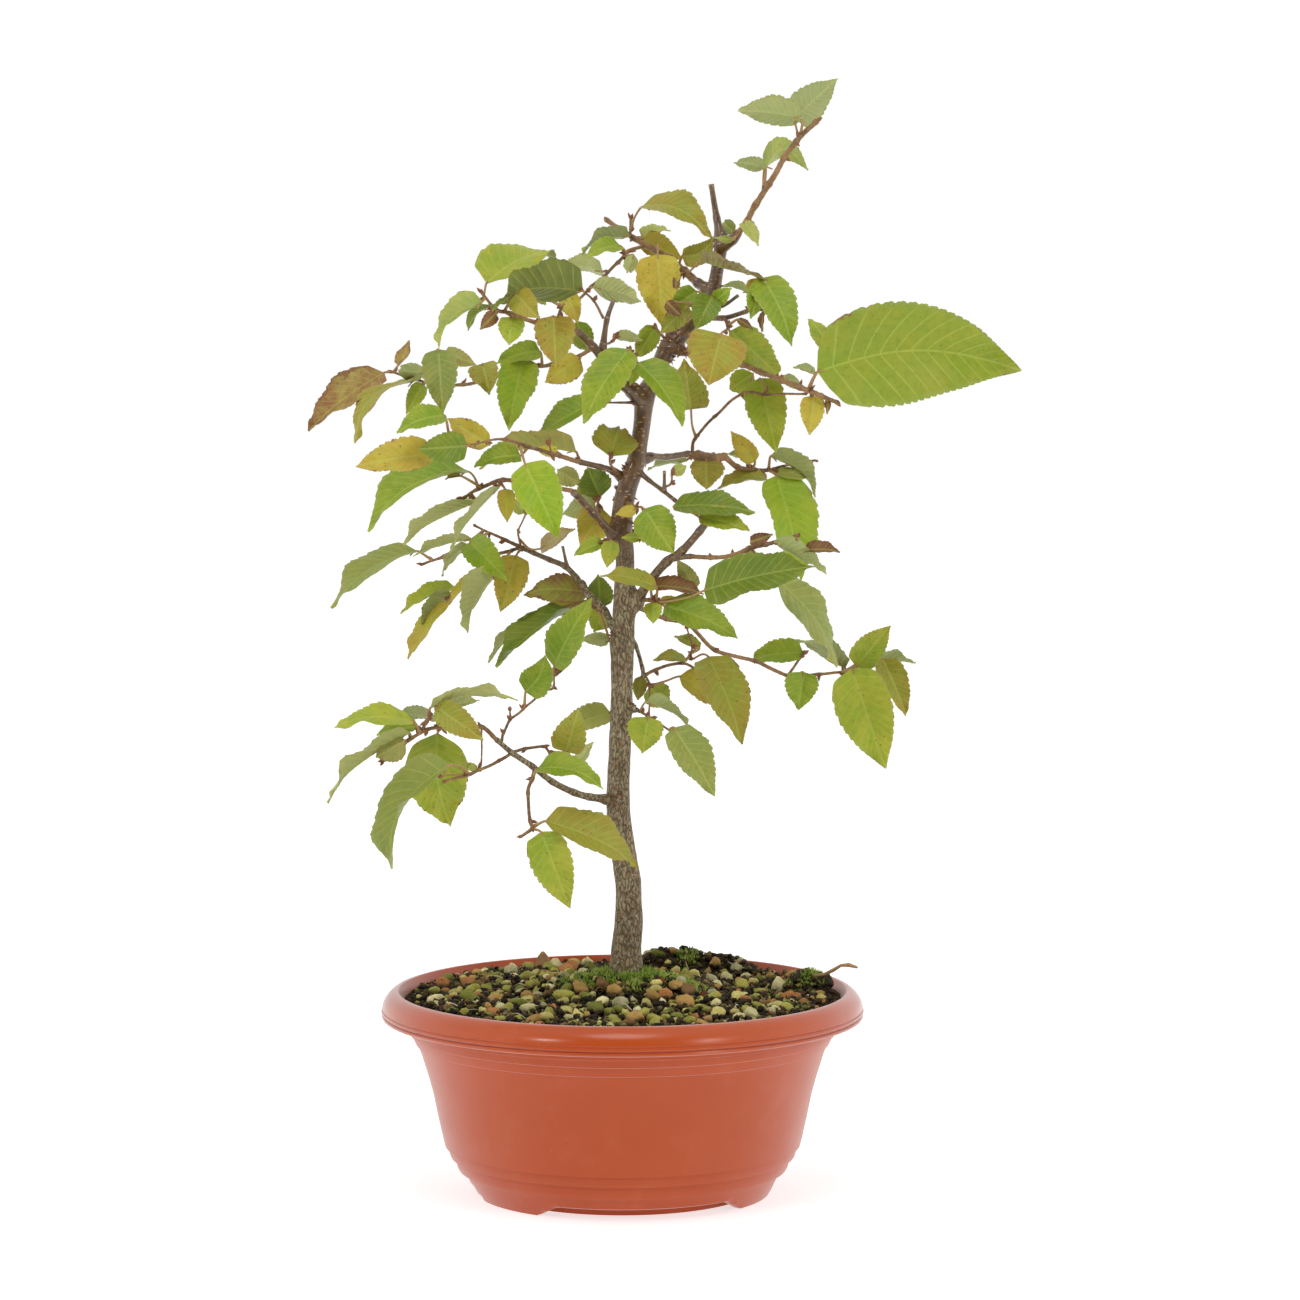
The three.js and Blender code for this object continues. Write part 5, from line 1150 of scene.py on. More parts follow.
def make_pot(materials):
    """The pot, turned from its profile, with the openings between its feet and its drain holes."""
    growth = Growth({})
    profile = np.array(POT_PROFILE[1:-1], float)
    turn = np.linspace(0, 2 * math.pi, POT_TURNS, endpoint=False)
    radius = np.repeat(profile[:, :1], POT_TURNS, 1)
    height = np.repeat(profile[:, 1:], POT_TURNS, 1)
    in_foot = (radius > FOOT_INSIDE) & (radius < FOOT_OUTSIDE) & (height < NOTCH_HEIGHT)
    height = np.where(in_foot, np.maximum(height, notch_height(turn)[None, :]), height)
    points = np.stack([radius * np.sin(turn), -radius * np.cos(turn), height], -1)
    middles = [[0, 0, POT_PROFILE[0][1]], [0, 0, POT_PROFILE[-1][1]]]
    growth.add(np.vstack([points.reshape(-1, 3), middles]), capped_faces(len(profile), POT_TURNS))
    piece = growth.mesh("training_pot", materials, crease=POT_CREASE)
    cut_drains(piece)
    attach(piece, "root")
    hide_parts("pot")


def cut_drains(piece):
    """Bore the drain holes through the pot's base."""
    drills = Growth({})
    for i in range(DRAINS):
        angle = (i + 0.5) / DRAINS * 2 * math.pi
        centre = np.array([DRAIN_RING * math.cos(angle), DRAIN_RING * math.sin(angle), 0.0])
        line = centre + np.array([[0, 0, -DRAIN_REACH], [0, 0, DRAIN_REACH]])
        tube(drills, line, np.full(2, DRAIN_RADIUS), DRAIN_TURNS, round_end=False)
    cutter = drills.mesh("drain_drills", [])
    change = piece.modifiers.new("drains", "BOOLEAN")
    change.operation = "DIFFERENCE"
    change.object = cutter
    change.solver = "EXACT"
    bake_modifiers(piece)
    bpy.data.objects.remove(cutter)


def bake_modifiers(piece):
    """Turn a piece's modifiers into its own mesh."""
    bpy.context.view_layer.update()
    graph = bpy.context.evaluated_depsgraph_get()
    made = bpy.data.meshes.new_from_object(piece.evaluated_get(graph))
    old = piece.data
    piece.modifiers.clear()
    piece.data = made
    bpy.data.meshes.remove(old)


def soil_height(x, y):
    height = np.full(np.shape(x), SOIL_EDGE)
    for u, v, rise, spread in LUMPS:
        height = height + rise * np.exp(-((x - u) ** 2 + (y - v) ** 2) / spread ** 2)
    return height


# Moss cushions round the trunk and on the raised patches: [x, y, spread, strength]
CUSHIONS = [
    [-13, -7, 10, 1.0], [4, -14, 10, 1.0], [16, -8, 10, 1.0], [-24, -3, 8, 0.7], [-8, 9, 9, 0.9],
    [12, 11, 8, 0.7], [27, -6, 8, 0.8], [33, -13, 6, 0.5], [86, 12, 7, 0.7], [-62, 52, 6, 0.5],
    [30, 62, 6, 0.4],
]
MOSS_RISE = 2.2


def moss_cover(x, y):
    """How thickly moss covers a place, from 0 to 1."""
    cover = np.zeros(np.shape(x))
    for u, v, spread, strength in CUSHIONS:
        cover = np.maximum(cover, strength * np.exp(-((x - u) ** 2 + (y - v) ** 2) / spread ** 2))
    return cover


def from_trunk(x, y):
    """Distance on the soil from the middle of the trunk's foot."""
    return math.hypot(x - TRUNK_X, y)


def soil_spot(draw, reach, full_turn=ROUND):
    """A random place on the soil within reach of the pot's axis, equally likely all over."""
    angle, out = draw.uniform(0, full_turn), reach * math.sqrt(draw.random())
    return out * math.cos(angle), out * math.sin(angle)


def crumble(points, size, amount, draw):
    """How far lumpy noise pushes each point, as on a broken surface."""
    shift = Vector((draw.uniform(-99, 99), draw.uniform(-99, 99), draw.uniform(-99, 99)))
    lumps = [noise.fractal(Vector(p) / size + shift, 0.9, 2.1, 3) for p in points.tolist()]
    return np.array(lumps) * amount


def finish_soil(piece):
    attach(piece, "root")
    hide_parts("soil")


BED_TURNS = 260
BED_RINGS = 90
BED_SINK = 0.6
# Size and height of the bed's coarse and fine lumps
BED_LUMPS = [(4.5, 1.9), (1.6, 0.7)]
# The bed's side along the pot's inside, from the top down, as [radius, height]
BED_WALL = [
    [SOIL_RADIUS - 0.6, SOIL_EDGE - 3], [96.4, 80], [92.8, 71.6], [89, 64], [81.8, 36.2],
    [78.8, 24.6], [72.6, 18.9], [66, 9.4],
]


def make_soil_bed(materials):
    """The humus that fills the pot, closed below."""
    draw = random.Random(5)
    growth = Growth({"moss": 1})
    turn = np.linspace(0, 2 * math.pi, BED_TURNS, endpoint=False)
    radius = np.linspace(0, 1, BED_RINGS + 1)[1:] * SOIL_RADIUS
    x, y = radius[:, None] * np.cos(turn), radius[:, None] * np.sin(turn)
    top = np.stack([x, y, soil_height(x, y)], -1)
    rough = sum(crumble(top.reshape(-1, 3), size, amount, draw) for size, amount in BED_LUMPS)
    inside = np.where(radius < SOIL_RADIUS, 1, 0)[:, None]
    top[..., 2] += MOSS_RISE * moss_cover(x, y) * inside
    top[..., 2] += rough.reshape(BED_RINGS, BED_TURNS) * inside - BED_SINK
    sides = np.array([[[r * math.cos(a), r * math.sin(a), z] for a in turn] for r, z in BED_WALL])
    middles = [[0, 0, top[0, :, 2].mean()], [0, 0, BED_WALL[-1][1]]]
    every = np.vstack([top.reshape(-1, 3), sides.reshape(-1, 3), middles])
    faces = [face[:, ::-1] for face in capped_faces(BED_RINGS + len(BED_WALL), BED_TURNS)]
    growth.add(every, faces, moss=moss_cover(every[:, 0], every[:, 1]))
    finish_soil(growth.mesh("soil_bed", materials))


def ball(level):
    """Points and triangles of a sphere of facets, as arrays."""
    made = bmesh.new()
    bmesh.ops.create_icosphere(made, subdivisions=level, radius=1.0)
    points = np.array([v.co[:] for v in made.verts])
    faces = np.array([[v.index for v in f.verts] for f in made.faces])
    made.free()
    return points, faces


# Tints of the grains and how often each comes
GRAIN_TINTS = [
    ((220, 208, 156), 2), ((204, 190, 116), 3), ((178, 140, 80), 2), ((164, 158, 76), 4),
    ((128, 130, 56), 3), ((176, 118, 68), 2), ((126, 94, 56), 2), ((186, 178, 138), 1),
]
HUMUS_TINTS = [
    ((36, 29, 18), 5), ((54, 42, 27), 5), ((78, 60, 36), 3), ((98, 88, 46), 2), ((130, 108, 64), 1),
]
# Sorts of grains. Sizes are the least, the most and the usual one, and spacing is how close two
# may lie, as a share of their sizes
PEBBLES = {
    "tries": 950, "sizes": (3.2, 9.5, 5.0), "level": 2, "tints": GRAIN_TINTS, "spacing": 0.8,
    "sink": 0.0, "lumpy": 0.2,
}
GRIT_CRUMBS = {
    "tries": 1200, "sizes": (1.2, 3.2, 2.0), "level": 1, "tints": GRAIN_TINTS, "spacing": 0.8,
    "sink": -0.3, "lumpy": 0.16,
}
HUMUS_CRUMBS = {
    "tries": 6500, "sizes": (1.0, 4.2, 2.0), "level": 1, "tints": HUMUS_TINTS, "spacing": 0.5,
    "sink": -0.45, "lumpy": 0.34,
}
GRIT_SHARE = 0.8
HUMUS_SHARE = 0.9
FLATS_A_GRAIN = 9
GRAIN_SWELL = 1.15
GRAIN_LUMP = 0.8
GRAIN_RISE = 0.3
EDGE_GAP = 1.0
FOOT_GAP = 10.5


def broken_grain(sphere, size, lumpy, draw):
    """Points of one grain: a ball cut by random flats, squashed, roughened and turned."""
    shape = np.array([draw.uniform(0.8, 1.25), draw.uniform(0.7, 1.0), draw.uniform(0.55, 0.95)])
    points = sphere.copy()
    for _ in range(FLATS_A_GRAIN):
        facing = random_way(draw)
        points -= facing * np.maximum(points @ facing - draw.uniform(0.5, 0.82), 0)[:, None]
    points = points * shape * GRAIN_SWELL
    points = points * (1 + crumble(points, GRAIN_LUMP, lumpy, draw))[:, None] * size / 2
    turns = (draw.uniform(-0.5, 0.5), draw.uniform(-0.5, 0.5), draw.uniform(0, ROUND))
    return points @ np.array(Euler(turns).to_matrix()).T


def scatter(growth, draw, keep, tries, sizes, level, tints, spacing, sink, lumpy):
    """Broken grains lying in the surface of the soil. keep(x, y) is the share that stays there."""
    sphere, faces = ball(level)
    colours = [paint(*tint) for tint, share in tints for _ in range(share)]
    taken = np.zeros((0, 3))
    for _ in range(tries):
        size = draw.triangular(*sizes)
        x, y = soil_spot(draw, SOIL_RADIUS - size - EDGE_GAP, 2 * math.pi)
        if from_trunk(x, y) < FOOT_GAP + size / 2 or draw.random() > keep(x, y):
            continue
        gaps = np.hypot(taken[:, 0] - x, taken[:, 1] - y) - spacing * (taken[:, 2] + size) / 2
        if len(taken) and gaps.min() < 0:
            continue
        taken = np.vstack([taken, [x, y, size]])
        points = broken_grain(sphere, size, lumpy, draw)
        height = float(soil_height(x, y)) + size * (GRAIN_RISE - sink)
        tint = np.array(colours[draw.randrange(len(colours))]) * draw.uniform(0.8, 1.15)
        growth.add(points + [x, y, height], [faces], tint=tint, place=points + [x, y, 0],
                   low=0.5 - points[:, 2] / size)


GRAIN_MARKS = {"tint": 3, "place": 3, "low": 1}
# Patches of humus with few pebbles: [x, y, square of the spread]
BARE_PATCHES = [[40, 60, 900], [86, 12, 150]]
BEHIND_SHARE = 0.75


def pebble_share(x, y):
    """Share of pebbles that stay at a place: fewer on bare humus, on moss and behind the trunk."""
    bare = max(math.exp(-((x - u) ** 2 + (y - v) ** 2) / square) for u, v, square in BARE_PATCHES)
    moss = float(moss_cover(np.array(x), np.array(y)))
    return (1 - 0.8 * bare) * (1 - 0.85 * moss) * (1 if y < 0 else BEHIND_SHARE)


def make_pebbles(materials):
    growth = Growth(GRAIN_MARKS)
    scatter(growth, random.Random(11), pebble_share, **PEBBLES)
    finish_soil(growth.mesh("soil_pebbles", materials))


# Lumps of humus on the raised patches: [x, y, size]
CLODS = [
    [16, 67, 13], [31, 66, 12], [45, 62, 12], [57, 58, 10], [24, 60, 9], [8, 62, 8], [84, 14, 15],
    [91, 8, 12], [76, 20, 9], [-50, 24, 7], [68, 44, 8], [38, 52, 8], [94, 0, 7],
]
CLOD_LEVEL = 4
CLOD_LUMP = 0.55
CLOD_LUMPY = 0.34
CLOD_SINK = 0.1


def make_crumbs(materials):
    """Small grains, rough humus between them, and clods."""
    draw = random.Random(12)
    growth = Growth(GRAIN_MARKS)
    scatter(growth, draw, lambda x, y: GRIT_SHARE, **GRIT_CRUMBS)
    scatter(growth, draw, lambda x, y: HUMUS_SHARE, **HUMUS_CRUMBS)
    for x, y, size in CLODS:
        add_clod(growth, x, y, size, draw)
    finish_soil(growth.mesh("soil_crumbs", materials))


def add_clod(growth, x, y, size, draw):
    """A lump of dark humus with a torn surface."""
    sphere, faces = ball(CLOD_LEVEL)
    points = sphere * [1, draw.uniform(0.7, 0.9), draw.uniform(0.5, 0.65)]
    points = points * (1 + crumble(points, CLOD_LUMP, CLOD_LUMPY, draw))[:, None] * size / 2
    height = float(soil_height(x, y)) - size * CLOD_SINK
    growth.add(points + [x, y, height], [faces], tint=np.array(swatch("clod")),
               place=points + [x, y, 0], low=0.5 - points[:, 2] / size)


MOSS_TUFTS = 850
LEAFLETS_A_TUFT = 9
MOSS_TINTS = [(106, 132, 38), (126, 152, 46), (156, 172, 72), (84, 112, 30)]
MOSS_TALL = (2.0, 4.4)
MOSS_SINK = 0.6
TUFT_SPREAD = 1.5
TUFT_LEAN = 0.5
BARE_TRUNK = 8.5
MOSS_EDGE = 3
# Radii at the foot and the middle of a leaflet
LEAFLET_RINGS = ((0.0, 0.24), (0.5, 0.36))
LEAFLET_SIDES = 3


def make_moss(materials):
    """Short pointed leaflets in tufts."""
    draw = random.Random(21)
    growth = Growth({"tip": 1, "tint": 3})
    tufts = 0
    while tufts < MOSS_TUFTS:
        u, v, spread, strength = CUSHIONS[draw.randrange(len(CUSHIONS))]
        x, y = draw.gauss(u, spread * 0.55), draw.gauss(v, spread * 0.55)
        near = from_trunk(x, y)
        off_soil = math.hypot(x, y) > SOIL_RADIUS - MOSS_EDGE
        if near < BARE_TRUNK or off_soil or draw.random() > strength + 0.2:
            continue
        tufts += 1
        mound = MOSS_RISE * float(moss_cover(np.array(x), np.array(y)))
        root = np.array([x, y, float(soil_height(x, y)) - MOSS_SINK + mound])
        tall = draw.uniform(*MOSS_TALL) * (1 + 0.5 * math.exp(-((near - 9) / 4) ** 2))
        tint = np.array(paint(*draw.choice(MOSS_TINTS)))
        for _ in range(LEAFLETS_A_TUFT):
            aim = unit(np.array([draw.gauss(0, TUFT_LEAN), draw.gauss(0, TUFT_LEAN), 1.0]))
            start = root + aim * [TUFT_SPREAD, TUFT_SPREAD, 0]
            add_leaflet(growth, start, aim, tall * draw.uniform(0.6, 1.1), tint, draw)
    finish_soil(growth.mesh("moss", materials))


def add_leaflet(growth, root, aim, tall, tint, draw):
    """A three-sided leaflet that bends over and ends in a point."""
    beside = [math.cos(draw.uniform(0, ROUND)), math.sin(draw.uniform(0, ROUND)), 0.1]
    side = unit(np.cross(aim, beside))
    other = np.cross(aim, side)
    bend = side * draw.uniform(0.1, 0.5) * tall
    ring = []
    for t, thick in LEAFLET_RINGS:
        for k in range(LEAFLET_SIDES):
            turn = 2 * math.pi * k / LEAFLET_SIDES
            corner = side * math.cos(turn) + other * math.sin(turn)
            ring.append(root + aim * tall * t + bend * t ** 2 + corner * thick)
    points = np.vstack([ring, root + aim * tall + bend, root - aim * 0.1])
    faces = [grid_faces(2, 3), fan_faces(3, 3, 6, True), fan_faces(0, 3, 7, False)]
    growth.add(points, faces, tip=np.array([0, 0, 0, 0.6, 0.6, 0.6, 1, 0]), tint=tint)


ROOT_HAIRS = 150
HAIR_LENGTHS = (4, 15)
HAIR_RADII = (0.14, 0.34)
HAIR_HUMPS = (0.4, 3.2)
HAIR_POINTS = 9
HAIR_SIDES = 5
HAIR_GAP = 12
HAIR_TINTS = [(206, 186, 142), (150, 118, 78), (120, 90, 56), (224, 214, 186)]
FLAKES = 60
FLAKE_LENGTHS = (3, 7)
FLAKE_GAP = 14
FLAKE_TINTS = [(146, 106, 62), (112, 78, 46), (168, 132, 84), (130, 62, 34)]
LITTER_EDGE = 8
# Single leaf scraps that stand up on the left: [x, y, rise], length, tilt, colour
SCRAPS = [
    ([-38.5, 74, 4], 12, 1.45, (186, 142, 104)),
    ([-33, 76, 2], 7, 0.8, (150, 128, 84)),
]
# The dry stem that reaches over the rim on the right
DRY_STEM = np.array([
    [88, 6, 98], [92, 3, 99], [96, 0, 101.5], [99.5, -2, 104], [103, -4, 104.5], [106.5, -5, 103.6],
])
DRY_STEM_RADII = np.array([0.9, 0.8, 0.9, 0.7, 1.0, 0.6])


def add_hair(growth, x, y, draw):
    """A thin wandering root hair or dry stem on the soil."""
    long, thick = draw.uniform(*HAIR_LENGTHS), draw.uniform(*HAIR_RADII)
    heading, hump = draw.uniform(0, ROUND), draw.uniform(*HAIR_HUMPS)
    t = np.linspace(0, 1, HAIR_POINTS)
    wander = 0.18 * long * np.sin(t * draw.uniform(2, 5) + draw.uniform(0, 6))
    px = x + math.cos(heading) * long * (t - 0.5) - math.sin(heading) * wander
    py = y + math.sin(heading) * long * (t - 0.5) + math.cos(heading) * wander
    inside = np.minimum(1, (SOIL_RADIUS - 2) / np.maximum(np.hypot(px, py), 1))
    height = soil_height(px, py) + 0.9 + hump * np.sin(math.pi * t)
    line = np.stack([px * inside, py * inside, height], -1)
    tint = np.array(paint(*draw.choice(HAIR_TINTS)))
    tube(growth, line, thick * (1.1 - 0.5 * t), HAIR_SIDES, tint=tint, place=line.mean(0))


def make_litter(materials):
    """Root hairs, dry stems and flakes of old leaves on the soil."""
    draw = random.Random(31)
    growth = Growth(GRAIN_MARKS)
    for _ in range(ROOT_HAIRS):
        x, y = soil_spot(draw, SOIL_RADIUS - LITTER_EDGE)
        if from_trunk(x, y) >= HAIR_GAP:
            add_hair(growth, x, y, draw)
    for _ in range(FLAKES):
        x, y = soil_spot(draw, SOIL_RADIUS - LITTER_EDGE)
        if from_trunk(x, y) >= FLAKE_GAP:
            centre = [x, y, float(soil_height(x, y)) + 1.2]
            long, tilt = draw.uniform(*FLAKE_LENGTHS), draw.uniform(0.1, 0.9)
            shade = draw.choice(FLAKE_TINTS)
            add_flake(growth, centre, long, tilt, draw, shade)
    for (x, y, rise), long, tilt, shade in SCRAPS:
        add_flake(growth, [x, y, float(soil_height(x, y)) + rise], long, tilt, draw, shade)
    tube(growth, DRY_STEM, DRY_STEM_RADII, 7, tint=np.array(swatch("dry_stem")), place=DRY_STEM[0])
    finish_soil(growth.mesh("soil_litter", materials))


FLAKE_ROWS = 7
FLAKE_TURNS = 10
FLAKE_HALF = 0.2


def add_flake(growth, centre, long, tilt, draw, shade):
    """A curled scrap of a dead leaf, thin but closed."""
    heading = draw.uniform(-0.5, 0.5) if tilt > 1 else draw.uniform(0, ROUND)
    turned = np.array(Euler((0, 0, heading)).to_matrix() @ Euler((tilt, 0, 0)).to_matrix())
    ring = []
    for i in range(FLAKE_ROWS):
        s = i / (FLAKE_ROWS - 1)
        ovate = 0.32 * math.sin(math.pi * min(1, 0.12 + 0.85 * s)) + 0.02
        half = long * ovate * draw.uniform(0.85, 1.15)
        for k in range(FLAKE_TURNS):
            turn = 2 * math.pi * k / FLAKE_TURNS
            across, thin = math.cos(turn) * half, FLAKE_HALF * math.sin(turn)
            curl = 0.5 * across ** 2 / long + 0.12 * long * s * s
            ring.append([across, long * (s - 0.5), thin + curl])
    points = np.array(ring) @ turned.T + centre
    every = np.vstack([points, points[:FLAKE_TURNS].mean(0), points[-FLAKE_TURNS:].mean(0)])
    growth.add(every, capped_faces(FLAKE_ROWS, FLAKE_TURNS), tint=np.array(paint(*shade)), place=every)


# Colours of the finishes and of single pieces, in screen values
SWATCHES = {
    "vein": (196, 204, 104), "scorch_dark": (84, 44, 22), "scorch_light": (158, 100, 48),
    "leaf_speck": (104, 66, 36), "leaf_back": (184, 190, 150), "twig_dark": (88, 62, 40),
    "twig_light": (162, 124, 80), "twig_pore": (184, 160, 124), "stalk_brown": (158, 116, 76),
    "stalk_tan": (172, 142, 88), "bud_dark": (84, 46, 28), "bud_light": (168, 116, 72),
    "old_bark": (122, 100, 70), "old_bark_pale": (158, 144, 112), "crack": (78, 58, 36),
    "old_bark_grey": (188, 178, 150), "pit": (156, 98, 58), "young_bark": (80, 55, 32),
    "young_bark_light": (112, 82, 48), "bark_dirt": (54, 38, 24), "bark_dash": (182, 138, 96),
    "cut_wood": (150, 132, 106), "scale_dark": (70, 42, 28), "scale_light": (172, 122, 82),
    "plastic": (174, 69, 20), "plastic_light": (179, 74, 25), "dust": (214, 150, 124),
    "pot_speck": (96, 42, 28), "chalk": (226, 176, 150), "humus_black": (38, 31, 20),
    "humus_brown": (82, 64, 38), "humus_olive": (118, 102, 58), "moss_stain": (72, 88, 30),
    "moss_tip": (186, 194, 108), "grain_bottom_dark": (44, 34, 22), "clod": (58, 48, 32),
    "dry_stem": (170, 134, 92),
}


def swatch(name):
    return paint(*SWATCHES[name])


class Wiring:
    """Adds nodes to a material or group. A plain number or colour goes on the socket itself."""

    def __init__(self, tree):
        self.tree = tree

    def node(self, kind, **settings):
        made = self.tree.nodes.new(kind)
        for name, value in settings.items():
            setattr(made, name, value)
        return made

    def feed(self, socket, value):
        if isinstance(value, bpy.types.NodeSocket):
            self.tree.links.new(value, socket)
        elif isinstance(value, tuple) and len(value) == 3 and socket.type == "RGBA":
            socket.default_value = (*value, 1.0)
        else:
            socket.default_value = value

    def feed_all(self, node, values):
        for name, value in values.items():
            self.feed(node.inputs[name.replace("_", " ")], value)

    def math(self, operation, *values, clamp=False):
        made = self.node("ShaderNodeMath", operation=operation, use_clamp=clamp)
        for socket, value in zip(made.inputs, values):
            self.feed(socket, value)
        return made.outputs[0]

    def step(self, value, low, high, start=0.0, end=1.0):
        """Smooth step of a value from low to high."""
        made = self.node("ShaderNodeMapRange", interpolation_type="SMOOTHSTEP")
        ends = {"From Min": low, "From Max": high, "To Min": start, "To Max": end}
        self.feed_all(made, {"Value": value, **ends})
        return made.outputs[0]

    def blend(self, mask, first, second, way="MIX"):
        """Colour between two colours. Sockets 6 and 7 of the node are its colours."""
        made = self.node("ShaderNodeMix", data_type="RGBA", blend_type=way)
        for socket, value in zip((made.inputs[0], made.inputs[6], made.inputs[7]), (mask, first, second)):
            self.feed(socket, value)
        return made.outputs[2]

    def between(self, mask, first, second):
        """Number between two numbers. Sockets 2 and 3 of the node are its numbers."""
        made = self.node("ShaderNodeMix", data_type="FLOAT")
        for socket, value in zip((made.inputs[0], made.inputs[2], made.inputs[3]), (mask, first, second)):
            self.feed(socket, value)
        return made.outputs[0]

    def times(self, first, second, clamp=False):
        return self.math("MULTIPLY", first, second, clamp=clamp)

    def plus(self, first, second):
        return self.math("ADD", first, second)

    def darker(self, colour, factors):
        """A colour with its red, green and blue multiplied by factors."""
        return self.blend(1.0, colour, factors, "MULTIPLY")

    def mark(self, name, colour=False):
        """A number or colour that the growth gave to its points."""
        made = self.node("ShaderNodeAttribute", attribute_name=name)
        return made.outputs["Color" if colour else "Fac"]

    def stretch(self, vector, factors):
        made = self.node("ShaderNodeVectorMath", operation="MULTIPLY")
        self.feed(made.inputs[0], vector)
        self.feed(made.inputs[1], factors)
        return made.outputs[0]

    def noise(self, place, scale, detail=3.0, rough=0.55):
        made = self.node("ShaderNodeTexNoise")
        self.feed_all(made, {"Vector": place, "Scale": scale, "Detail": detail, "Roughness": rough})
        return made.outputs["Fac"]

    def cells(self, place, scale, feature="F1"):
        made = self.node("ShaderNodeTexVoronoi", feature=feature)
        self.feed_all(made, {"Vector": place, "Scale": scale})
        return made.outputs["Distance"]

    def bump(self, height, strength, distance):
        made = self.node("ShaderNodeBump")
        self.feed_all(made, {"Height": height, "Strength": strength, "Distance": distance})
        return made.outputs[0]

    def use(self, group, **values):
        made = self.node("ShaderNodeGroup", node_tree=group)
        self.feed_all(made, values)
        return made.outputs[0]

    def blotches(self, place, scale, low, high):
        return self.use(BLOTCHES, Place=place, Scale=scale, Low=low, High=high)

    def pores(self, place, scale, size):
        return self.use(PORES, Place=place, Scale=scale, Size=size)

    def grit(self, place, scale):
        return self.use(GRIT, Place=place, Scale=scale)


def effect(name, sockets, out_kind, build):
    """A node group with named number or vector inputs and one output."""
    group = bpy.data.node_groups.new(name, "ShaderNodeTree")
    for socket, kind, value in sockets:
        made = group.interface.new_socket(socket, in_out="INPUT", socket_type=kind)
        if value is not None:
            made.default_value = value
    group.interface.new_socket("Result", in_out="OUTPUT", socket_type=out_kind)
    wiring = Wiring(group)
    given = wiring.node("NodeGroupInput")
    result = wiring.node("NodeGroupOutput")
    wiring.feed(result.inputs[0], build(wiring, {o.name: o for o in given.outputs}))
    return group


NUMBER, VECTOR = "NodeSocketFloat", "NodeSocketVector"
PLACE = ("Place", VECTOR, None)
SCALE = ("Scale", NUMBER, 1.0)


def build_blotches(w, i):
    """Patches where a coarse and a fine noise agree."""
    coarse = w.noise(i["Place"], i["Scale"], 5.0, 0.6)
    fine = w.noise(i["Place"], w.times(i["Scale"], 3.7), 2.0)
    return w.step(w.plus(w.times(coarse, 0.7), w.times(fine, 0.3)), i["Low"], i["High"])


def build_grit(w, i):
    """Fine relief of a dry natural surface."""
    lumps = w.cells(i["Place"], w.times(i["Scale"], 1.7))
    return w.plus(w.noise(i["Place"], i["Scale"], 6.0, 0.65), w.times(lumps, 0.5))


def build_pores(w, i):
    """Small round spots: breathing pores of bark, specks on leaves and plastic."""
    return w.step(w.cells(i["Place"], i["Scale"]), i["Size"], w.times(i["Size"], 0.6))


BLOTCHES = effect(
    "blotches", [PLACE, SCALE, ("Low", NUMBER, 0.45), ("High", NUMBER, 0.6)], NUMBER, build_blotches,
)
GRIT = effect("grit", [PLACE, SCALE], NUMBER, build_grit)
PORES = effect("pores", [PLACE, SCALE, ("Size", NUMBER, 0.25)], NUMBER, build_pores)


def finish_of(name, roughness, specular=0.4, **fixed):
    """A material with its shader; returns the material, its wiring and the shader."""
    material = bpy.data.materials.new(name)
    material.use_nodes = True
    shader = material.node_tree.nodes["Principled BSDF"]
    shader.inputs["Roughness"].default_value = roughness
    shader.inputs["Specular IOR Level"].default_value = specular
    for socket, value in fixed.items():
        shader.inputs[socket.replace("_", " ")].default_value = value
    return material, Wiring(material.node_tree), shader


def object_place(w, factors=(1000.0, 1000.0, 1000.0)):
    """Place on the object in millimetres, stretched by factors."""
    coordinates = w.node("ShaderNodeTexCoord")
    return w.stretch(coordinates.outputs["Object"], factors)


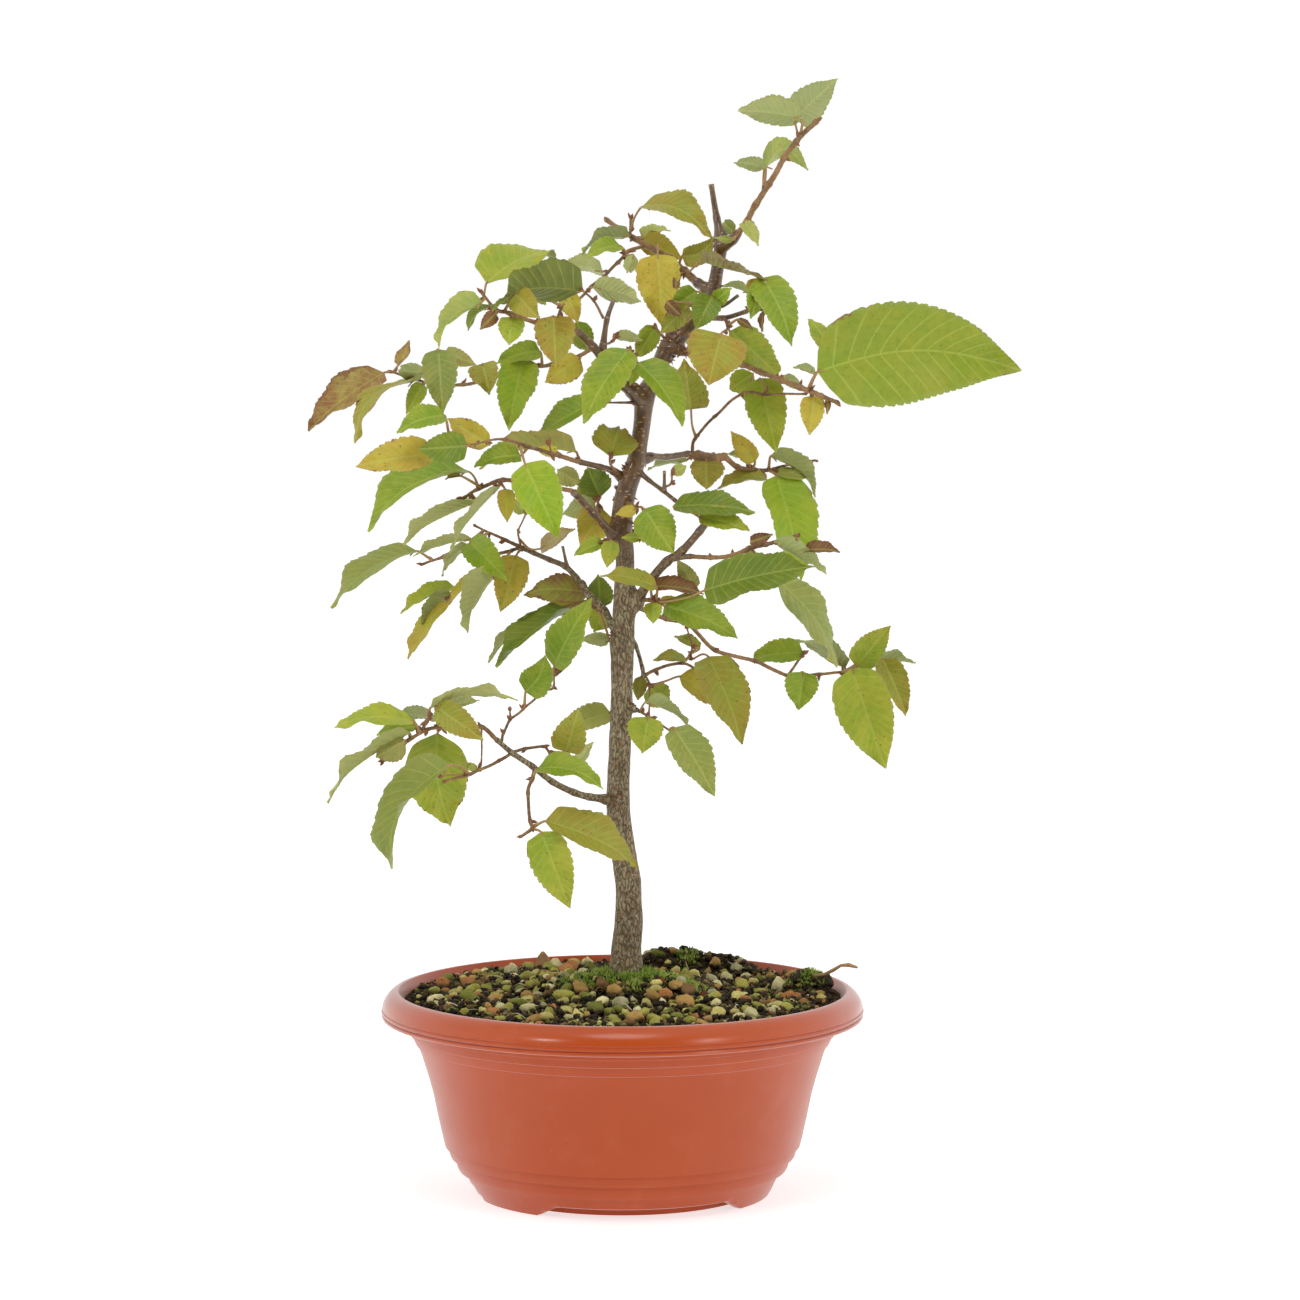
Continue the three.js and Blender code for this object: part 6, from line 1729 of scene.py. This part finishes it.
def leaf_finish():
    material, w, shader = finish_of("hornbeam_leaf", 0.45, 0.32)
    place, rim, far, age = w.mark("place", True), w.mark("rim"), w.mark("far"), w.mark("age")
    turn = w.times(w.mark("vein"), 2 * math.pi)
    ridge = w.math("MULTIPLY_ADD", w.math("COSINE", turn), 0.5, 0.5)
    vein = w.math("POWER", ridge, 32.0)
    spread = w.node("ShaderNodeSeparateXYZ")
    w.feed(spread.inputs[0], place)
    midrib = w.step(w.math("ABSOLUTE", spread.outputs[1]), 0.75, 0.25)
    lines = w.math("MAXIMUM", w.times(vein, w.step(rim, 1.0, 0.7, 0.35, 1.0)), midrib)
    mesh = w.step(w.cells(place, 0.9, "DISTANCE_TO_EDGE"), 0.12, 0.0)
    patches = w.blotches(place, 0.07, 0.36, 0.64)
    edge = w.math("MULTIPLY_ADD", w.math("POWER", rim, 3.0), 0.35, w.times(w.math("POWER", far, 4.0), 0.4))
    faded = w.times(w.plus(patches, edge), w.math("MULTIPLY_ADD", age, 0.5, 0.45), clamp=True)
    base = w.blend(faded, w.mark("tint", True), w.mark("fade", True))
    cloud = w.step(w.noise(place, 0.35, 4.0), 0.4, 0.75, 0.0, 0.35)
    base = w.blend(cloud, base, w.darker(base, (0.62, 0.7, 0.5)))
    # The fine network of veinlets is sunken, and its grooves are painted darker: painted shade
    base = w.blend(w.times(mesh, 0.25), base, w.darker(base, (0.72, 0.78, 0.6)))
    base = w.blend(w.times(lines, 0.26), base, swatch("vein"))
    burn = w.plus(w.times(w.math("POWER", rim, 6.0), 0.3), w.noise(place, 0.16, 5.0, 0.65))
    burn = w.math("MULTIPLY_ADD", w.math("POWER", far, 8.0), 0.14, burn)
    burn = w.plus(burn, w.math("MULTIPLY_ADD", w.noise(place, 0.03, 1.0), 0.4, -0.2))
    scorch = w.step(burn, w.math("MULTIPLY_ADD", age, -0.27, 0.95), w.math("MULTIPLY_ADD", age, -0.27, 1.0))
    burnt = w.blend(w.noise(place, 0.8), swatch("scorch_dark"), swatch("scorch_light"))
    base = w.blend(w.times(scorch, 0.85), base, burnt)
    specks = w.times(w.pores(place, 0.32, 0.16), w.step(age, 0.05, 0.6, 0.3, 1.0))
    base = w.blend(w.times(specks, 0.7), base, swatch("leaf_speck"))
    back = w.blend(0.5, base, swatch("leaf_back"))
    base = w.blend(w.mark("backing"), base, back)
    w.feed(shader.inputs["Base Color"], base)
    w.feed(shader.inputs["Roughness"], w.step(patches, 0.0, 1.0, 0.42, 0.5))
    relief = w.plus(w.times(mesh, -0.5), w.times(w.noise(place, 2.2, 3.0), 0.7))
    w.feed(shader.inputs["Normal"], w.bump(relief, 0.5, 0.00012))
    return material


def twig_finish():
    material, w, shader = finish_of("twig_bark", 0.5, 0.4)
    place = object_place(w)
    mottle = w.blotches(place, 0.5, 0.35, 0.65)
    run = w.blotches(place, 0.05, 0.4, 0.6)
    shade = w.math("MULTIPLY_ADD", run, 0.6, w.times(mottle, 0.4))
    wood = w.blend(shade, swatch("twig_dark"), swatch("twig_light"))
    wood = w.blend(w.times(w.pores(place, 0.9, 0.22), 0.55), wood, swatch("twig_pore"))
    stem = w.blend(mottle, swatch("stalk_brown"), swatch("stalk_tan"))
    colour = w.blend(w.mark("stalk"), wood, stem)
    bud = w.blend(w.noise(place, 1.1), swatch("bud_dark"), swatch("bud_light"))
    colour = w.blend(w.mark("bud"), colour, bud)
    w.feed(shader.inputs["Base Color"], colour)
    w.feed(shader.inputs["Roughness"], w.step(mottle, 0.0, 1.0, 0.5, 0.66))
    w.feed(shader.inputs["Normal"], w.bump(w.grit(place, 1.4), 0.5, 0.0002))
    return material


def bark_finish():
    material, w, shader = finish_of("bark", 0.8, 0.45, Coat_Roughness=0.2)
    place, tall = object_place(w), object_place(w, (1000.0, 1000.0, 450.0))
    old = w.mark("old")
    plates = w.cells(tall, 0.62, "DISTANCE_TO_EDGE")
    network = w.step(plates, 0.2, 0.02)
    mottle = w.blotches(tall, 0.3, 0.4, 0.62)
    low = w.blend(mottle, swatch("old_bark"), swatch("old_bark_pale"))
    low = w.blend(w.times(network, 0.75), low, swatch("crack"))
    low = w.blend(w.times(w.blotches(tall, 1.0, 0.5, 0.6), 0.7), low, swatch("old_bark_grey"))
    pits = w.pores(tall, 0.42, 0.24)
    low = w.blend(w.times(pits, 0.65), low, swatch("pit"))
    high = w.blend(w.blotches(place, 0.12, 0.38, 0.62), swatch("young_bark"), swatch("young_bark_light"))
    darkening = w.blotches(place, 0.35, 0.52, 0.68)
    high = w.blend(w.times(darkening, 0.5), high, swatch("bark_dirt"))
    dashes = w.pores(object_place(w, (1000.0, 1000.0, 2600.0)), 0.26, 0.27)
    high = w.blend(w.times(dashes, 0.75), high, swatch("bark_dash"))
    colour = w.blend(old, high, low)
    colour = w.blend(w.times(w.mark("stub"), 0.5), colour, swatch("cut_wood"))
    scale = w.mark("scale")
    torn = w.blend(w.noise(place, 0.7, 3.0), swatch("scale_dark"), swatch("scale_light"))
    colour = w.blend(w.step(scale, 0.1, 0.3), colour, torn)
    w.feed(shader.inputs["Base Color"], colour)
    w.feed(shader.inputs["Coat Weight"], w.times(w.step(w.plus(old, scale), 0.35, 0.0), 0.55))
    w.feed(shader.inputs["Roughness"], w.between(old, 0.34, w.step(mottle, 0.0, 1.0, 0.7, 0.9)))
    relief = w.plus(w.grit(tall, 0.9), w.times(network, -1.4))
    smooth = w.times(w.noise(place, 0.35, 3.0), 0.3)
    w.feed(shader.inputs["Normal"], w.bump(w.between(old, smooth, relief), 0.65, 0.0006))
    return material


def pot_finish():
    material, w, shader = finish_of("pot_plastic", 0.4, 0.34, Sheen_Weight=0.62, Sheen_Roughness=0.42)
    place = object_place(w)
    height = w.node("ShaderNodeSeparateXYZ")
    w.feed(height.inputs[0], place)
    rim = w.step(height.outputs[2], 79.0, 81.0)
    cloud = w.blotches(place, 0.012, 0.25, 0.75)
    colour = w.blend(cloud, swatch("plastic"), swatch("plastic_light"))
    dust = w.times(w.blotches(place, 0.05, 0.5, 0.7), 0.05)
    colour = w.blend(dust, colour, swatch("dust"))
    specks = w.pores(place, 0.07, 0.028)
    colour = w.blend(w.times(specks, 0.7), colour, swatch("pot_speck"))
    chalk = w.pores(object_place(w, (1000.0, 1000.0, 260.0)), 0.035, 0.014)
    colour = w.blend(w.times(chalk, 0.7), colour, swatch("chalk"))
    w.feed(shader.inputs["Base Color"], colour)
    satin = w.step(w.noise(place, 0.04, 4.0), 0.3, 0.7, 0.46, 0.54)
    w.feed(shader.inputs["Roughness"], w.between(rim, satin, w.step(cloud, 0.0, 1.0, 0.2, 0.26)))
    turned = w.noise(object_place(w, (30.0, 30.0, 1000.0)), 0.35, 3.0)
    orange = w.grit(place, 1.3)
    w.feed(shader.inputs["Normal"], w.bump(w.plus(turned, w.times(orange, 0.1)), 0.2, 0.0002))
    return material


def humus_finish():
    material, w, shader = finish_of("humus", 0.92, 0.15)
    place = object_place(w)
    colour = w.blend(w.blotches(place, 0.3, 0.42, 0.6), swatch("humus_black"), swatch("humus_brown"))
    colour = w.blend(w.times(w.blotches(place, 0.8, 0.55, 0.65), 0.7), colour, swatch("humus_olive"))
    colour = w.blend(w.times(w.mark("moss"), 0.7), colour, swatch("moss_stain"))
    w.feed(shader.inputs["Base Color"], colour)
    w.feed(shader.inputs["Normal"], w.bump(w.grit(place, 0.9), 0.9, 0.0012))
    return material


def grain_finish():
    material, w, shader = finish_of("soil_grain", 0.82, 0.25)
    place = w.mark("place", True)
    tint = w.mark("tint", True)
    stain = w.blotches(place, 0.3, 0.46, 0.6)
    colour = w.blend(w.times(stain, 0.55), tint, w.darker(tint, (0.62, 0.66, 0.36)))
    speck = w.blotches(place, 1.3, 0.55, 0.64)
    colour = w.blend(w.times(speck, 0.5), colour, w.darker(colour, (0.42, 0.34, 0.24)))
    # Each grain turns darker towards its bottom
    darkening = w.step(w.plus(w.mark("low"), w.times(w.noise(place, 0.6), 0.5)), 0.6, 1.0)
    colour = w.blend(w.times(darkening, 0.85), colour, swatch("grain_bottom_dark"))
    w.feed(shader.inputs["Base Color"], colour)
    w.feed(shader.inputs["Normal"], w.bump(w.grit(place, 1.5), 0.7, 0.0005))
    return material


def moss_finish():
    material, w, shader = finish_of("moss", 0.7, 0.25)
    tint, tip = w.mark("tint", True), w.mark("tip")
    # Leaflets are much darker towards their feet: painted shade deep in the tuft
    colour = w.blend(w.step(tip, 0.0, 0.8), w.darker(tint, (0.28, 0.34, 0.2)), tint)
    pale = w.step(w.noise(object_place(w), 0.25, 2.0), 0.45, 0.65, 0.0, 0.6)
    colour = w.blend(pale, colour, swatch("moss_tip"))
    w.feed(shader.inputs["Base Color"], colour)
    return material


# Half the floor's side, in metres
FLOOR_HALF = 6
FLOOR_GREYS = (0.55, 0.57)
# Lamps: name, place in metres, height that it is aimed at, size and watts
LAMPS = [
    ("softbox_left", (-1.0, -1.3, 1.0), 0.15, 0.3, 4.5),
    ("softbox_right", (1.1, -1.2, 0.8), 0.15, 0.3, 3.5),
    ("softbox_above", (0.0, -0.95, 1.7), 0.2, 0.8, 8),
]
# Light of the studio from above, from the sides, from behind and from where the viewer stands
SKY_ABOVE = 0.85
SKY_SIDES = 1.3
SKY_LEVEL = 0.8
SKY_ROOM = 0.08
BACKDROP = 1.02
WHITE = (1.0, 1.0, 1.0, 1.0)


def make_floor():
    """A pale floor that the object stands on."""
    made = bpy.data.meshes.new("studio_floor")
    corners = [(x * FLOOR_HALF, y * FLOOR_HALF, 0) for x, y in ((-1, -1), (1, -1), (1, 1), (-1, 1))]
    made.from_pydata(corners, [], [(0, 1, 2, 3)])
    material, w, shader = finish_of("floor_paint", 0.8, 0.2, Emission_Strength=0.66)
    shader.inputs["Emission Color"].default_value = WHITE
    shade = w.noise(object_place(w), 0.01, 2.0)
    w.feed(shader.inputs["Base Color"], w.blend(shade, *[(grey,) * 3 for grey in FLOOR_GREYS]))
    made.materials.append(material)
    floor = bpy.data.objects.new("studio_floor", made)
    bpy.context.scene.collection.objects.link(floor)


def make_light(name, place, aim, size, watts):
    lamp = bpy.data.lights.new(name, "AREA")
    lamp.shape = "DISK"
    lamp.size = size
    lamp.energy = watts
    holder = bpy.data.objects.new(name, lamp)
    holder.location = place
    holder.rotation_euler = (Vector(aim) - Vector(place)).to_track_quat("-Z", "Y").to_euler()
    bpy.context.scene.collection.objects.link(holder)


def make_camera():
    lens = bpy.data.cameras.new("viewer")
    lens.lens = LENS_MM
    lens.sensor_width = SENSOR_MM
    lens.sensor_fit = "HORIZONTAL"
    holder = bpy.data.objects.new("viewer", lens)
    holder.location = Vector(EYE * MM)
    holder.rotation_euler = Vector((AIM - EYE) * MM).to_track_quat("-Z", "Y").to_euler()
    bpy.context.scene.collection.objects.link(holder)
    bpy.context.scene.camera = holder


def make_sky():
    """A white studio round the object, darker where the viewer stands, and plain white as a backdrop."""
    sky = bpy.data.worlds.new("studio")
    sky.use_nodes = True
    w = Wiring(sky.node_tree)
    light = sky.node_tree.nodes["Background"]
    way = w.node("ShaderNodeSeparateXYZ")
    w.feed(way.inputs[0], w.node("ShaderNodeTexCoord").outputs["Generated"])
    level = w.between(w.step(w.math("ABSOLUTE", way.outputs[0]), 0.3, 0.9), SKY_LEVEL, SKY_SIDES)
    level = w.between(w.step(way.outputs[2], 0.2, 0.9), level, SKY_ABOVE)
    level = w.between(w.step(w.times(way.outputs[1], -1.0), 0.25, 0.85), level, SKY_ROOM)
    backdrop = w.node("ShaderNodeLightPath").outputs["Is Camera Ray"]
    w.feed(light.inputs["Strength"], w.between(backdrop, level, BACKDROP))
    light.inputs["Color"].default_value = WHITE
    bpy.context.scene.world = sky
    bpy.context.scene.view_settings.view_transform = "Standard"


LEAF = leaf_finish()
TWIG = twig_finish()
GRAIN = grain_finish()

make_pot([pot_finish()])
make_trunk([bark_finish()])
for order, (name, rows) in enumerate(SHOOTS.items()):
    make_shoot(name, rows, order, [LEAF, TWIG])
make_soil_bed([humus_finish()])
make_pebbles([GRAIN])
make_crumbs([GRAIN])
make_moss([moss_finish()])
make_litter([GRAIN])

make_floor()
for name, place, aim_height, size, watts in LAMPS:
    make_light(name, place, (0, 0, aim_height), size, watts)
make_sky()
make_camera()
